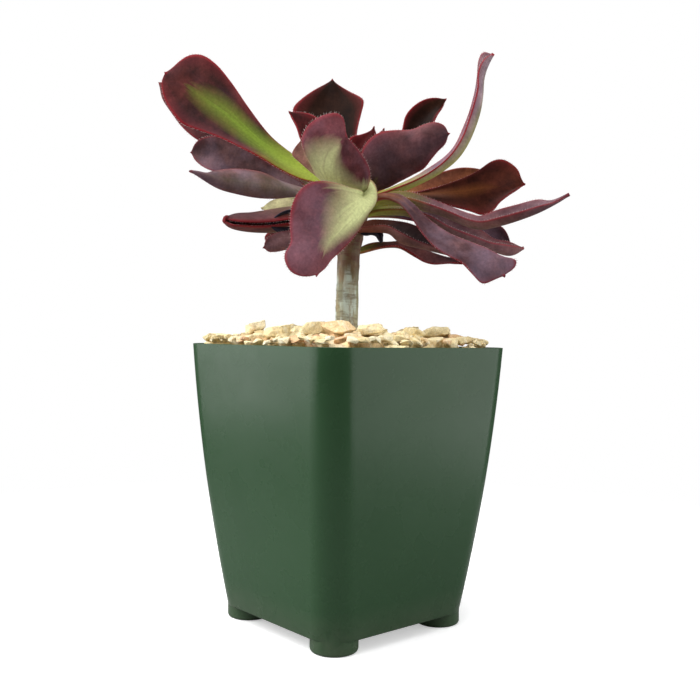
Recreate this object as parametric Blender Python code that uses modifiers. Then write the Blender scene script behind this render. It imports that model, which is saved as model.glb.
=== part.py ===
"""Potted aeonium: a young dark-leaved succulent in a square nursery pot.

Metres, +Z up. The origin is on the surface that the pot stands on, at the middle of the pot, and the pot's
sides run along X and Y. The plant is laid out in its own frame, in millimetres, and turned in the pot.
"""

import math
from collections import namedtuple

import bmesh
import bpy
import numpy as np
from mathutils import Matrix, Vector, noise
from mathutils.bvhtree import BVHTree

# ---------------------------------------------------------------------------------------------------------
# Driving dimensions
# ---------------------------------------------------------------------------------------------------------
MM = 0.001
GAP = 0.3 * MM                      # between pieces that rest on or in each other

RIM_SIDE = 90.0 * MM                # outer width of the pot at the rim
BASE_SIDE = 69.0 * MM               # outer width where the walls end, above the feet
RIM_HEIGHT = 104.5 * MM
FLOOR_HEIGHT = 5.0 * MM             # underside of the pot's floor
CORNER_RADIUS_RIM = 12.0 * MM
CORNER_RADIUS_BASE = 10.5 * MM
WALL = 1.3 * MM
BULGE = 0.48                        # how far the walls belly out between base and rim
CORNER_STEPS = 5
WALL_LEVELS = 7

FOOT_RADIUS = 8.2 * MM
FOOT_INSET = 25.4 * MM              # foot centre, along X and along Y
FOOT_ROOT = 0.8 * MM                # how far a foot runs up into the floor
DRAIN_RADIUS = 3.5 * MM
DRAIN_CIRCLE = 15.0 * MM

SOIL_TOP = 96.0 * MM
GRAVEL_EDGE = 102.4 * MM            # top of the gravel at the wall
GRAVEL_CROWN = 108.8 * MM           # top of the gravel beside the stem
GRAVEL_CELLS = 20
CHIP_LUMP = 1.5 * MM
CHIP_SPACING = 6.0 * MM
ROOT_DEPTH = 88.0 * MM              # height of the stem's lower end, in the soil

PLANT_TURN = math.radians(49.2)     # the plant's own frame, turned about Z in the pot
STALK_CLEARANCE = 0.7                # from the stem to the middle of a leaf's base, in millimetres
LEAF_THICKNESS = 1.6 * MM
LEAF_STEPS_LONG = 9
LEAF_STEPS_WIDE = 4
NARROWEST = 0.07                    # width of a leaf's very tip, as a share of its full width

# Stem, bottom to top in the plant's frame: x, z and radius, in millimetres
STEM = (
    (-0.8, 88.0, 4.3),
    (-0.7, 110.0, 4.3),
    (-0.3, 126.0, 4.2),
    (0.3, 139.0, 4.2),
    (1.6, 149.0, 4.9),
    (3.4, 159.0, 5.2),
    (4.6, 167.0, 4.2),
    (5.2, 172.5, 2.2),
)
STEM_RINGS = 16

# A leaf leaves the stem at a bearing and height, and its midrib then runs through a few points. Widths are
# across the leaf laid flat. broad is where along it the leaf is widest, blunt squares off its end, lead
# keeps the stalk narrow for longer. twist and fold are degrees, read evenly from base to tip.
Leaf = namedtuple("Leaf", "bearing height rib width stalk broad blunt twist fold lead", defaults=(1.0,))

LEAVES = {
    # left side, upper to lower
    "leaf_upper_left": Leaf(180, 164.5, ((-12, 5, 169), (-28, 7, 177.5), (-47.5, 10, 195.5), (-72.5, 13, 211.5)),
                            26, 6, 0.77, 2.6, (0, 60, 80, 85), (60, 30, 15), 2.0),
    "leaf_upper_left_rear": Leaf(168, 160.5, ((-19, 11, 169), (-46, 19, 187), (-74, 24, 206)),
                                 24, 5, 0.75, 2.2, (0, 50, 70), (50, 30, 20)),
    "leaf_left": Leaf(152, 157.5, ((-19, 15, 167), (-42, 26, 178), (-65, 34, 183)),
                      18, 5, 0.72, 2.6, (0, 50, 60), (50, 25, 15)),
    "leaf_left_pointed": Leaf(205, 156, ((-22, -10, 161.5), (-39, -20, 163.5), (-55, -28, 166.5)),
                              13.5, 4.5, 0.5, 1.3, (0, -50, -60), (40, 40, 50)),
    "leaf_left_boat": Leaf(198, 151.5, ((-18, -5, 150.5), (-31, -8, 149), (-44, -13, 147)),
                           14, 4, 0.6, 2.2, (0, 50, 60), (40, 50, 50)),
    "leaf_left_pale": Leaf(160, 154.5, ((-19, 6, 159), (-34, 12, 158)),
                           9, 4, 0.6, 1.8, (0, 50, 60), (20,)),
    "leaf_left_low": Leaf(220, 146.5, ((-14, -12, 143.5), (-23, -17, 141), (-32, -20, 139.5)),
                          12, 4, 0.65, 2.4, (0, 50, 60), (20,)),
    "leaf_withered_left": Leaf(242, 152, ((-12, -14, 152.5), (-20, -19, 151), (-28, -22, 147)),
                               9, 3, 0.6, 1.8, (0, 50, 60), (40,)),
    # front and centre
    "leaf_front": Leaf(274, 157, ((4, -14, 159), (-4, -26, 154.5), (-12, -32, 143), (-13, -33, 130)),
                       26, 8, 0.38, 2.4, (0, 20, 10), (20, 10, 30)),
    "leaf_front_upright": Leaf(235, 162, ((-4, -12, 164.5), (-6.5, -18, 172), (-3.5, -21, 178.5), (1, -23, 180)),
                               27, 7, 0.6, 1.8, (10, 30, 35), (30, 40, 40)),
    "leaf_inner_left": Leaf(150, 168, ((-12, 9, 180), (-23, 11, 196)),
                            19, 5, 0.7, 1.3, (20,), (30,)),
    "leaf_inner_left_small": Leaf(210, 168, ((-10, -3.5, 174.5), (-20, -1.5, 181.5)),
                                  10, 4, 0.6, 2, (10,), (20,)),
    "leaf_heart_rear": Leaf(90, 171, ((2.5, 9.5, 180), (9, 12, 190)),
                            12, 4, 0.6, 1.5, (0,), (20,)),
    "leaf_heart_right": Leaf(12, 170.5, ((13, 3, 180), (17, 6, 190.5)),
                             9, 3.5, 0.6, 1.5, (0,), (20,)),
    "leaf_rear_upright": Leaf(92, 167, ((-3.5, 16, 179), (-7, 25, 197), (-7, 30, 212)),
                              29, 6, 0.78, 1.2, (14,), (30, 20, 10)),
    # right side, upper to lower
    "leaf_right_broad": Leaf(320, 168, ((13, -14, 169.5), (24, -18, 175), (36, -22, 180)),
                             20, 9, 0.5, 2.2, (20, 60, 70), (20,)),
    "leaf_right_rear_small": Leaf(55, 165.5, ((20, 18, 177), (30, 25, 192), (40, 30, 206)),
                                  12, 4, 0.72, 1.8, (0, -60, -70), (20,)),
    "leaf_arching": Leaf(350, 164.2, ((29, 2, 168), (43, 3, 178), (47.5, 4, 192), (51, 5, 204), (54, 5, 216)),
                         11, 5, 0.5, 1.8, (0, 0, 0, 50), (50, 75, 75, 20)),
    "leaf_right_tan": Leaf(36, 161.5, ((28, 16, 168), (53, 26, 176)),
                           12, 4, 0.7, 2, (0, -50, -60), (20,)),
    "leaf_right_brown": Leaf(8, 159, ((30, 5, 160), (49, 8, 164.5), (69, 10, 167)),
                             24, 5, 0.82, 2.8, (0, -65, -75), (40, 20, 15), 1.8),
    "leaf_far_right": Leaf(345, 155.5, ((21, -6, 159), (36, -9, 154), (48, -12, 148.5), (64, -17, 153.5),
                                        (78, -25, 157.5)),
                           12, 5, 0.6, 1.2, (0, -50, -60), (40, 50, 50)),
    "leaf_right_low": Leaf(18, 152, ((17, 5, 156.5), (36, 10, 153.5), (52, 13, 148), (69, 14, 144)),
                           15, 4, 0.75, 2.4, (0, -30, -60), (40, 40, 20)),
    "leaf_front_right": Leaf(322, 160.5, ((17, -14, 160), (28, -23, 147.5), (39, -29, 138), (52, -34, 130)),
                             19, 5, 0.88, 4, (0, -40, -50), (40, 50, 20)),
    "leaf_right_channelled": Leaf(330, 148, ((14, -7, 149.5), (25, -10, 143), (37, -12, 137)),
                                  12, 4, 0.6, 1.8, (0, -20, -20), (40, 60, 60)),
    "leaf_lowest": Leaf(10, 141, ((10, 3, 142.5), (20, 6.5, 145), (31, 9, 140.5), (44, 10, 137)),
                        11, 2.6, 0.75, 1.6, (0, 0, -30), (40,)),
    "leaf_withered_stub": Leaf(300, 146, ((8, -6, 147), (11, -7, 146), (12, -7, 143)),
                               3, 2, 0.6, 1.8, (0,), (60,)),
    # far side
    "leaf_rear_high": Leaf(126, 164, ((-8, 28, 170), (-12, 42, 180), (-14, 54, 190)),
                           20, 4.5, 0.72, 2, (0,), (40, 30, 20)),
    "leaf_rear_right_high": Leaf(80, 162.5, ((10, 21, 172), (14, 32, 184), (15, 38, 194)),
                                 15, 4, 0.7, 1.8, (0,), (40, 30, 20)),
    "leaf_rear_right": Leaf(62, 158, ((20, 22, 161), (32, 36, 166), (40, 47, 168)),
                            20, 5, 0.72, 2, (0,), (40, 30, 20)),
    "leaf_rear_left": Leaf(112, 155.5, ((-14, 26, 162), (-28, 40, 168), (-36, 50, 170)),
                           20, 5, 0.72, 2, (0,), (40, 30, 20)),
    "leaf_rear_drooping": Leaf(92, 153, ((0, 24, 158), (-4, 42, 156), (-8, 58, 150)),
                               18, 5, 0.72, 2, (0,), (40, 30, 20)),
    "leaf_rear_right_low": Leaf(55, 150, ((18, 18, 155), (29, 26, 153), (38, 31, 149)),
                                15, 4.5, 0.72, 2, (0,), (40, 30, 20)),
    "leaf_rear_left_low": Leaf(140, 150.5, ((-13, 17, 152), (-24, 26, 150), (-34, 32, 146)),
                               16, 5, 0.72, 2, (0,), (40, 30, 20)),
}

# Loose chips on top of the gravel: bearing in degrees, distance from the middle and size, in millimetres
CHIPS = (
    (-82, 12, 9.0), (-18, 15, 8.5), (35, 13, 8.0), (95, 16, 9.0), (150, 14, 8.0), (205, 16, 9.5), (262, 20, 9.0),
    (-45, 33, 12.0), (0, 32, 10.0), (45, 35, 11.5), (90, 32, 10.5), (135, 35, 12.0), (180, 32, 9.5),
    (225, 35, 11.5), (270, 33, 10.0), (-66, 30, 10.0), (-24, 32, 11.0), (20, 28, 9.0),
)

# Colours as linear red, green, blue, then roughness
POT_GREEN = ((0.045, 0.105, 0.052), 0.38)
SOIL_BROWN = ((0.045, 0.028, 0.017), 0.95)
CHIP_BEIGE = ((0.72, 0.56, 0.33), 0.85)
BARK = ((0.24, 0.26, 0.19), 0.75)
LEAF_BURGUNDY = ((0.085, 0.022, 0.026), 0.42)
LEAF_PURPLE = ((0.115, 0.045, 0.062), 0.48)
LEAF_DRIED = ((0.03, 0.028, 0.04), 0.8)
LEAF_PALE = ((0.42, 0.38, 0.22), 0.6)


# ---------------------------------------------------------------------------------------------------------
# Scene, materials and objects
# ---------------------------------------------------------------------------------------------------------
def clear_scene():
    for obj in list(bpy.data.objects):
        bpy.data.objects.remove(obj)


def new_collection(name):
    collection = bpy.data.collections.new(name)
    bpy.context.scene.collection.children.link(collection)
    return collection


def material(name, look):
    colour, roughness = look
    mat = bpy.data.materials.new(name)
    mat.use_nodes = True
    shader = mat.node_tree.nodes["Principled BSDF"]
    shader.inputs["Base Color"].default_value = (*colour, 1.0)
    shader.inputs["Roughness"].default_value = roughness
    shader.inputs["Metallic"].default_value = 0.0
    return mat


def add_object(name, bm, collection, look=None, smooth=False):
    bmesh.ops.recalc_face_normals(bm, faces=bm.faces)
    mesh = bpy.data.meshes.new(name)
    bm.to_mesh(mesh)
    bm.free()
    if smooth:
        mesh.shade_smooth()
        mesh.set_sharp_from_angle(angle=math.radians(40))
    obj = bpy.data.objects.new(name, mesh)
    collection.objects.link(obj)
    if look:
        mesh.materials.append(material(name, look))
    return obj


def as_guide(obj):
    obj.hide_render = True
    obj.display_type = "WIRE"
    return obj


def boolean(obj, other, operation):
    mod = obj.modifiers.new(f"{operation.lower()} {other.name}", "BOOLEAN")
    mod.operation = operation
    mod.solver = "EXACT"
    mod.object = other


# ---------------------------------------------------------------------------------------------------------
# Pot, soil and gravel: everything that follows the pot's rounded square section
# ---------------------------------------------------------------------------------------------------------
def pot_section(height, inset=0.0):
    """Half width and corner radius of the pot at a height, moved inward by inset."""
    rise = (height - FLOOR_HEIGHT) / (RIM_HEIGHT - FLOOR_HEIGHT)
    spread = rise + BULGE * rise * (1.0 - rise)
    half = 0.5 * (BASE_SIDE + (RIM_SIDE - BASE_SIDE) * spread) - inset
    radius = CORNER_RADIUS_BASE + (CORNER_RADIUS_RIM - CORNER_RADIUS_BASE) * rise - inset
    return half, radius


def rounded_square(half, radius, height):
    """One ring of points, anticlockwise, with an arc at each corner."""
    points = []
    for corner in range(4):
        middle = math.radians(45 + 90 * corner)
        centre_x = math.copysign(half - radius, math.cos(middle))
        centre_y = math.copysign(half - radius, math.sin(middle))
        for step in range(CORNER_STEPS + 1):
            angle = math.radians(90 * corner + 90 * step / CORNER_STEPS)
            points.append((centre_x + radius * math.cos(angle), centre_y + radius * math.sin(angle), height))
    return points


def levels(bottom, top, count=WALL_LEVELS):
    return [bottom + (top - bottom) * i / (count - 1) for i in range(count)]


def pot_loft(heights, inset):
    """A closed body that follows the pot's section through the given heights."""
    bm = bmesh.new()
    rings = []
    for height in heights:
        half, radius = pot_section(height, inset)
        rings.append([bm.verts.new(point) for point in rounded_square(half, radius, height)])
    count = len(rings[0])
    for lower, upper in zip(rings, rings[1:]):
        for i in range(count):
            j = (i + 1) % count
            bm.faces.new((lower[i], lower[j], upper[j], upper[i]))
    bm.faces.new(reversed(rings[0]))
    bm.faces.new(rings[-1])
    return bm


def cylinder(radius, bottom, top, x, y, sides, top_radius=None):
    bm = bmesh.new()
    bmesh.ops.create_cone(
        bm, cap_ends=True, segments=sides, radius1=radius, radius2=top_radius or radius, depth=top - bottom,
        matrix=Matrix.Translation((x, y, 0.5 * (bottom + top))))
    return bm


def build_pot(parts, guides):
    """The moulding: a shell cut from the outer body, four corner feet, drain holes in its floor."""
    pot = add_object("pot", pot_loft(levels(FLOOR_HEIGHT, RIM_HEIGHT), 0.0), parts, POT_GREEN, smooth=True)
    cavity_levels = levels(FLOOR_HEIGHT + WALL, RIM_HEIGHT) + [RIM_HEIGHT + WALL]
    cavity = as_guide(add_object("pot_cavity", pot_loft(cavity_levels, WALL), guides))
    boolean(pot, cavity, "DIFFERENCE")
    for i, (sx, sy) in enumerate(((1, 1), (-1, 1), (-1, -1), (1, -1)), start=1):
        foot_shape = cylinder(FOOT_RADIUS - 0.5 * MM, 0.0, FLOOR_HEIGHT + FOOT_ROOT, sx * FOOT_INSET,
                              sy * FOOT_INSET, 20, top_radius=FOOT_RADIUS)
        boolean(pot, as_guide(add_object(f"foot_{i}", foot_shape, guides)), "UNION")
    for i in range(4):
        angle = math.radians(90 * i)
        hole = cylinder(DRAIN_RADIUS, 0.0, FLOOR_HEIGHT + 2 * WALL, DRAIN_CIRCLE * math.cos(angle),
                        DRAIN_CIRCLE * math.sin(angle), 12)
        boolean(pot, as_guide(add_object(f"drain_{i + 1}", hole, guides)), "DIFFERENCE")


def stem_hole(guides):
    """The space that the stem takes in the soil and in the gravel."""
    (x, _, radius) = STEM[1]
    reach = radius * MM + GAP + 0.1 * MM
    foot = plant_point((x, 0, 0))
    shape = cylinder(reach, ROOT_DEPTH - GAP, GRAVEL_CROWN + 10 * MM, foot.x, foot.y, 20)
    return as_guide(add_object("stem_hole", shape, guides))


def build_soil(parts, hole):
    heights = levels(FLOOR_HEIGHT + WALL + GAP, SOIL_TOP)
    soil = add_object("soil", pot_loft(heights, WALL + GAP), parts, SOIL_BROWN)
    boolean(soil, hole, "DIFFERENCE")


def square_reach(angle, half, radius):
    """Distance from the middle to a rounded square's outline, in one direction."""
    c, s = abs(math.cos(angle)), abs(math.sin(angle))
    flat = half / max(c, s)
    if min(c, s) * flat <= half - radius:
        return flat
    inner = half - radius
    along = (c + s) * inner
    return along + math.sqrt(max(along * along - 2 * inner * inner + radius * radius, 0.0))


def gravel_height(x, y, share):
    """Top of the gravel: a low mound with the lumps of its chips."""
    mound = GRAVEL_CROWN + (GRAVEL_EDGE - GRAVEL_CROWN) * share ** 2
    nearest = noise.voronoi(Vector((x, y, 0.0)) / CHIP_SPACING)[0][0]
    return mound + CHIP_LUMP * (0.35 - min(nearest, 0.7))


def build_gravel(parts, hole):
    """The bed of small chips over the soil, as one lumpy layer."""
    bottom = SOIL_TOP + GAP
    half, radius = pot_section(bottom, WALL + GAP)
    bm = bmesh.new()
    bmesh.ops.create_grid(bm, x_segments=GRAVEL_CELLS, y_segments=GRAVEL_CELLS, size=1.0)
    for vert in bm.verts:
        share = max(abs(vert.co.x), abs(vert.co.y))
        angle = math.atan2(vert.co.y, vert.co.x)
        reach = share * square_reach(angle, half, radius)
        x, y = reach * math.cos(angle), reach * math.sin(angle)
        vert.co = (x, y, gravel_height(x, y, share))
    skirt = bmesh.ops.extrude_face_region(bm, geom=list(bm.faces), use_keep_orig=True)["geom"]
    for item in skirt:
        if isinstance(item, bmesh.types.BMVert):
            item.co.z = bottom
    under = [face for face in bm.faces if all(abs(v.co.z - bottom) < 1e-7 for v in face.verts)]
    bmesh.ops.dissolve_faces(bm, faces=under)
    gravel = add_object("gravel", bm, parts, CHIP_BEIGE)
    boolean(gravel, hole, "DIFFERENCE")
    return gravel


def chip_points(size, seed):
    """Corners of one crushed chip, flatter than it is wide."""
    rng = np.random.default_rng(seed)
    corners = rng.normal(size=(14, 3))
    corners /= np.linalg.norm(corners, axis=1)[:, None]
    corners *= rng.uniform(0.85, 1.1, size=(14, 1))
    return corners * (np.array([1.0, 0.8, 0.62]) * 0.5 * size)


def settle(bm, ground):
    """Lower a chip until it stands GAP above the gravel under it."""
    chip = BVHTree.FromBMesh(bm)
    down, up = Vector((0, 0, -1)), Vector((0, 0, 1))
    drops = []
    for vert in bm.verts:
        hit = ground.ray_cast(vert.co, down)[0]
        if hit:
            drops.append(vert.co.z - hit.z)
    low = min(bm.verts, key=lambda v: v.co.z).co
    reach = max((v.co.xy - low.xy).length for v in bm.verts)
    for i in range(-12, 13):
        for j in range(-12, 13):
            spot = Vector((low.x + reach * i / 12, low.y + reach * j / 12, 0.0))
            under = chip.ray_cast(spot, up)[0]
            top = ground.ray_cast(Vector((spot.x, spot.y, 1.0)), down)[0]
            if under and top:
                drops.append(under.z - top.z)
    bmesh.ops.translate(bm, verts=bm.verts, vec=(0, 0, GAP + 0.1 * MM - min(drops)))


def build_chips(parts, gravel):
    """The larger chips that lie loose on the bed."""
    graph = bpy.context.evaluated_depsgraph_get()
    ground = BVHTree.FromObject(gravel, graph)
    for i, (bearing, distance, size) in enumerate(CHIPS, start=1):
        angle = math.radians(bearing)
        bm = bmesh.new()
        for corner in chip_points(size * MM, seed=i):
            bm.verts.new(corner)
        hull = bmesh.ops.convex_hull(bm, input=bm.verts)
        bmesh.ops.delete(bm, geom=hull["geom_interior"], context="VERTS")
        turn = Matrix.Rotation(math.radians(137.5 * i), 4, "Z") @ Matrix.Rotation(0.25, 4, "X")
        place = Matrix.Translation((distance * MM * math.cos(angle), distance * MM * math.sin(angle), 0.13))
        bmesh.ops.transform(bm, matrix=place @ turn, verts=bm.verts)
        settle(bm, ground)
        add_object(f"stone_{i:02d}", bm, parts, CHIP_BEIGE)


# ---------------------------------------------------------------------------------------------------------
# Stem and leaves
# ---------------------------------------------------------------------------------------------------------
def plant_point(point):
    """A point of the plant's own frame, in millimetres, placed in the pot's frame."""
    turned = Matrix.Rotation(PLANT_TURN, 4, "Z") @ Vector(point)
    return turned * MM


def smooth_run(points, count):
    """Evenly spaced points on a centripetal Catmull-Rom curve through the given ones."""
    points = np.asarray(points, float)
    spans = np.linalg.norm(np.diff(points, axis=0), axis=1) ** 0.5
    knots = np.concatenate(([0.0], np.cumsum(spans)))
    ends = (2 * points[0] - points[1], 2 * points[-1] - points[-2])
    points = np.vstack((ends[0], points, ends[1]))
    knots = np.concatenate(([-spans[0]], knots, [knots[-1] + spans[-1]]))
    fine = []
    for t in np.linspace(0.0, knots[-2], count * 8):
        i = int(np.clip(np.searchsorted(knots, t, side="right") - 1, 1, len(points) - 3))
        t0, t1, t2, t3 = knots[i - 1:i + 3]
        p0, p1, p2, p3 = points[i - 1:i + 3]
        a1 = ((t1 - t) * p0 + (t - t0) * p1) / (t1 - t0)
        a2 = ((t2 - t) * p1 + (t - t1) * p2) / (t2 - t1)
        a3 = ((t3 - t) * p2 + (t - t2) * p3) / (t3 - t2)
        b1 = ((t2 - t) * a1 + (t - t0) * a2) / (t2 - t0)
        b2 = ((t3 - t) * a2 + (t - t1) * a3) / (t3 - t1)
        fine.append(((t2 - t) * b1 + (t - t1) * b2) / (t2 - t1))
    fine = np.array(fine)
    run = np.concatenate(([0.0], np.cumsum(np.linalg.norm(np.diff(fine, axis=0), axis=1))))
    even = np.linspace(0.0, run[-1], count)
    return np.stack([np.interp(even, run, fine[:, axis]) for axis in range(3)], axis=1)


def stem_at(height):
    """The stem's centre and radius at a height, in the plant's frame."""
    xs, zs, radii = zip(*STEM)
    return np.array([np.interp(height, zs, xs), 0.0, height]), np.interp(height, zs, radii)


def build_stem(parts):
    curve = bpy.data.curves.new("stem", "CURVE")
    curve.dimensions = "3D"
    curve.bevel_depth = MM
    curve.bevel_resolution = 3
    curve.use_fill_caps = True
    spline = curve.splines.new("POLY")
    centres = smooth_run([(x, 0.0, z) for x, z, _ in STEM], STEM_RINGS)
    spline.points.add(len(centres) - 1)
    for point, centre in zip(spline.points, centres):
        point.co = (*plant_point(centre), 1.0)
        point.radius = stem_at(centre[2])[1]
    stem = bpy.data.objects.new("stem", curve)
    parts.objects.link(stem)
    curve.materials.append(material("stem", BARK))


def ease(x):
    x = np.clip(x, 0.0, 1.0)
    return x * x * (3.0 - 2.0 * x)


def along(values, t):
    """Values read evenly from base to tip."""
    return np.interp(t, np.linspace(0.0, 1.0, len(values)), values) if len(values) > 1 else values[0] + 0 * t


def half_widths(leaf, t):
    widening = leaf.stalk + (leaf.width - leaf.stalk) * ease(np.clip(t / leaf.broad, 0.0, 1.0) ** leaf.lead)
    end = np.clip((t - leaf.broad) / (1.0 - leaf.broad), 0.0, 1.0)
    power = 1.0 / min(leaf.blunt, 2.5) if leaf.blunt >= 1.4 else 1.0
    rounding = leaf.width * (1.0 - end ** leaf.blunt) ** power
    return 0.5 * np.maximum(np.where(t < leaf.broad, widening, rounding), NARROWEST * leaf.width)


def leaf_surface(leaf):
    """Points of the leaf's middle surface, rows from base to tip, in the plant's frame."""
    t = np.linspace(0.0, 1.0, LEAF_STEPS_LONG + 1)
    centre, radius = stem_at(leaf.height)
    bearing = math.radians(leaf.bearing)
    outward = np.array([math.cos(bearing), math.sin(bearing), 0.0])
    base = centre + (radius + STALK_CLEARANCE) * outward
    midrib = smooth_run([base, *leaf.rib], len(t))
    forward = np.gradient(midrib, axis=0)
    forward /= np.linalg.norm(forward, axis=1)[:, None]
    reach = midrib[-1] - midrib[0]
    swing = (math.atan2(reach[1], reach[0]) - bearing + math.pi) % (2 * math.pi) - math.pi
    heading = bearing + swing * ease(2.0 * t)
    side = np.stack((np.sin(heading), -np.cos(heading), 0.0 * t), axis=1)
    side -= np.sum(side * forward, axis=1)[:, None] * forward
    side /= np.linalg.norm(side, axis=1)[:, None]
    up = np.cross(side, forward)
    twist = np.radians(along(leaf.twist, t))[:, None]
    side, up = side * np.cos(twist) + up * np.sin(twist), up * np.cos(twist) - side * np.sin(twist)
    half = half_widths(leaf, t)
    bend = (np.radians(np.maximum(along(leaf.fold, t), 0.5)) / half)[:, None]
    across = np.linspace(-1.0, 1.0, LEAF_STEPS_WIDE + 1)[None, :] * half[:, None]
    sideways = np.sin(bend * across) / bend
    lift = (1.0 - np.cos(bend * across)) / bend
    return midrib[:, None] + side[:, None] * sideways[..., None] + up[:, None] * lift[..., None]


def build_leaf(name, leaf, parts):
    points = leaf_surface(leaf)
    bm = bmesh.new()
    bmesh.ops.create_grid(bm, x_segments=LEAF_STEPS_WIDE, y_segments=LEAF_STEPS_LONG, size=1.0)
    for vert in bm.verts:
        column = round((vert.co.x + 1.0) * 0.5 * LEAF_STEPS_WIDE)
        row = round((vert.co.y + 1.0) * 0.5 * LEAF_STEPS_LONG)
        vert.co = plant_point(points[row, column])
    look = LEAF_PURPLE if "front" in name or "right" in name else LEAF_BURGUNDY
    if "withered" in name:
        look = LEAF_DRIED
    if "pale" in name:
        look = LEAF_PALE
    obj = add_object(name, bm, parts, look, smooth=True)
    thick = obj.modifiers.new("thickness", "SOLIDIFY")
    thick.thickness = LEAF_THICKNESS
    thick.offset = 0.0


def main():
    clear_scene()
    parts = new_collection("potted_aeonium")
    guides = new_collection("cutters")
    build_pot(parts, guides)
    hole = stem_hole(guides)
    build_soil(parts, hole)
    gravel = build_gravel(parts, hole)
    build_chips(parts, gravel)
    build_stem(parts)
    for name, leaf in LEAVES.items():
        build_leaf(name, leaf, parts)


main()
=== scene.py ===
"""Potted aeonium: a young dark-leaved succulent in a square nursery pot topped with crushed stone.

Metres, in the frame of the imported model: the origin is on the table under the middle of the pot. The plant
is laid out in millimetres in a frame of its own, which is turned in the pot.
"""
import math
from collections import namedtuple

import bmesh
import bpy
import numpy as np
from mathutils import Matrix, Vector, noise


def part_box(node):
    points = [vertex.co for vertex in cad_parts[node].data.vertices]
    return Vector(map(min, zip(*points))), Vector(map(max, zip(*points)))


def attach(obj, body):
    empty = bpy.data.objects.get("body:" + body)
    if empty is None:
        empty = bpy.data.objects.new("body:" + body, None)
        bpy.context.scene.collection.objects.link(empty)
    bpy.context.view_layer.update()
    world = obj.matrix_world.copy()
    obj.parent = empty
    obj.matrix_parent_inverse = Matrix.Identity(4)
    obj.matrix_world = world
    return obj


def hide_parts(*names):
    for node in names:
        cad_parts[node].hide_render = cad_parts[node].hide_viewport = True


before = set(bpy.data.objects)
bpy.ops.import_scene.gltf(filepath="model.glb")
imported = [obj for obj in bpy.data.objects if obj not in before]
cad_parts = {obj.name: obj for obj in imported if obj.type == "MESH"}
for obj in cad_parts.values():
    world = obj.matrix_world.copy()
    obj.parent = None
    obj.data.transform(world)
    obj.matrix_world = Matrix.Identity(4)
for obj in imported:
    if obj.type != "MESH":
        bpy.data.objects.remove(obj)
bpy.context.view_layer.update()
MM = 0.001

# ---------------------------------------------------------------------------------------------------------
# Pot: one thin injection-moulded shell of dark green polypropylene, wider at the rim than at the base, with
# rounded corners, walls that belly out a little, and a round foot under each corner, all in one moulding.
# ---------------------------------------------------------------------------------------------------------
pot_low, pot_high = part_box("pot")
POT_SIDE = pot_high.x - pot_low.x
POT_TOP = pot_high.z
POT_BASE_SHARE = 69.0 / 90.0            # width of the base against the width of the rim
POT_BELLY = 0.48
POT_FLOOR = 5.0 * MM
POT_WALL = 1.3 * MM
POT_CORNER = 11.0 * MM
POT_RINGS = 14
RIM_ROUND, BASE_ROUND, FOOT_ROUND = 0.4 * MM, 0.5 * MM, 1.3 * MM
FOOT_RADIUS = 8.45 * MM
FOOT_INSET = 25.4 * MM
FOOT_HEIGHT = POT_FLOOR + 0.6 * POT_WALL
DRAIN_RADIUS = 3.5 * MM
DRAIN_CIRCLE = 15.0 * MM
DUST_HEIGHT = 16.0 * MM
FOOT_CORNERS = ((1, 1), (-1, 1), (-1, -1), (1, -1))


def pick(mesh_test, mode="VERT"):
    """Selects the parts of the mesh being edited whose middle passes a test."""
    edit = bmesh.from_edit_mesh(bpy.context.object.data)
    bpy.ops.mesh.select_mode(type=mode)
    bpy.ops.mesh.select_all(action="DESELECT")
    kinds = {"VERT": edit.verts, "EDGE": edit.edges, "FACE": edit.faces}
    for item in kinds[mode]:
        if mode == "VERT":
            middle = item.co
        elif mode == "EDGE":
            middle = (item.verts[0].co + item.verts[1].co) / 2
        else:
            middle = item.calc_center_median()
        item.select_set(mesh_test(item, middle))
    edit.select_flush_mode()
    bmesh.update_edit_mesh(bpy.context.object.data)


def start_piece(name, add, **settings):
    """Adds a primitive with nothing else selected and gives it its name."""
    if bpy.context.object and bpy.context.object.mode != "OBJECT":
        bpy.ops.object.mode_set(mode="OBJECT")
    bpy.ops.object.select_all(action="DESELECT")
    add(**settings)
    piece = bpy.context.object
    piece.name = name
    piece.data.name = name
    return piece


def take_alone(piece):
    """Leaves one piece selected and active."""
    bpy.ops.object.select_all(action="DESELECT")
    piece.select_set(True)
    bpy.context.view_layer.objects.active = piece


def settle_place(piece):
    """Writes the object's place into its mesh."""
    take_alone(piece)
    bpy.ops.object.transform_apply(location=True, rotation=True, scale=True)


def apply_modifiers(piece):
    take_alone(piece)
    for modifier in list(piece.modifiers):
        bpy.ops.object.modifier_apply(modifier=modifier.name)


def give_finish(piece, *finishes):
    piece.data.materials.clear()
    for finish in finishes:
        piece.data.materials.append(finish)


def new_material(name):
    """A material, its node tree and its Principled shader."""
    material = bpy.data.materials.new(name)
    material.use_nodes = True
    return material, material.node_tree, material.node_tree.nodes["Principled BSDF"]


def add_node(tree, kind, **values):
    """A shader node; a value goes to the input of its name, or else to the property of its name."""
    node = tree.nodes.new(kind)
    for key, value in values.items():
        if key in node.inputs:
            node.inputs[key].default_value = value
        else:
            setattr(node, key, value)
    return node


def noise_at(tree, scale, detail=4.0, roughness=0.55, vector=None):
    """Noise over the piece, in features per metre."""
    texture = add_node(tree, "ShaderNodeTexNoise", Scale=scale, Detail=detail, Roughness=roughness)
    if vector is None:
        vector = add_node(tree, "ShaderNodeTexCoord").outputs["Object"]
    tree.links.new(vector, texture.inputs["Vector"])
    return texture.outputs["Fac"]


def ramp(tree, source, *stops):
    """A colour ramp over a source; stops are (position, colour)."""
    node = tree.nodes.new("ShaderNodeValToRGB")
    elements = node.color_ramp.elements
    while len(elements) < len(stops):
        elements.new(0.5)
    for element, (position, colour) in zip(elements, stops):
        element.position = position
        element.color = (*colour, 1.0) if isinstance(colour, tuple) else (colour, colour, colour, 1.0)
    tree.links.new(source, node.inputs["Fac"])
    return node.outputs["Color"]


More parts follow.
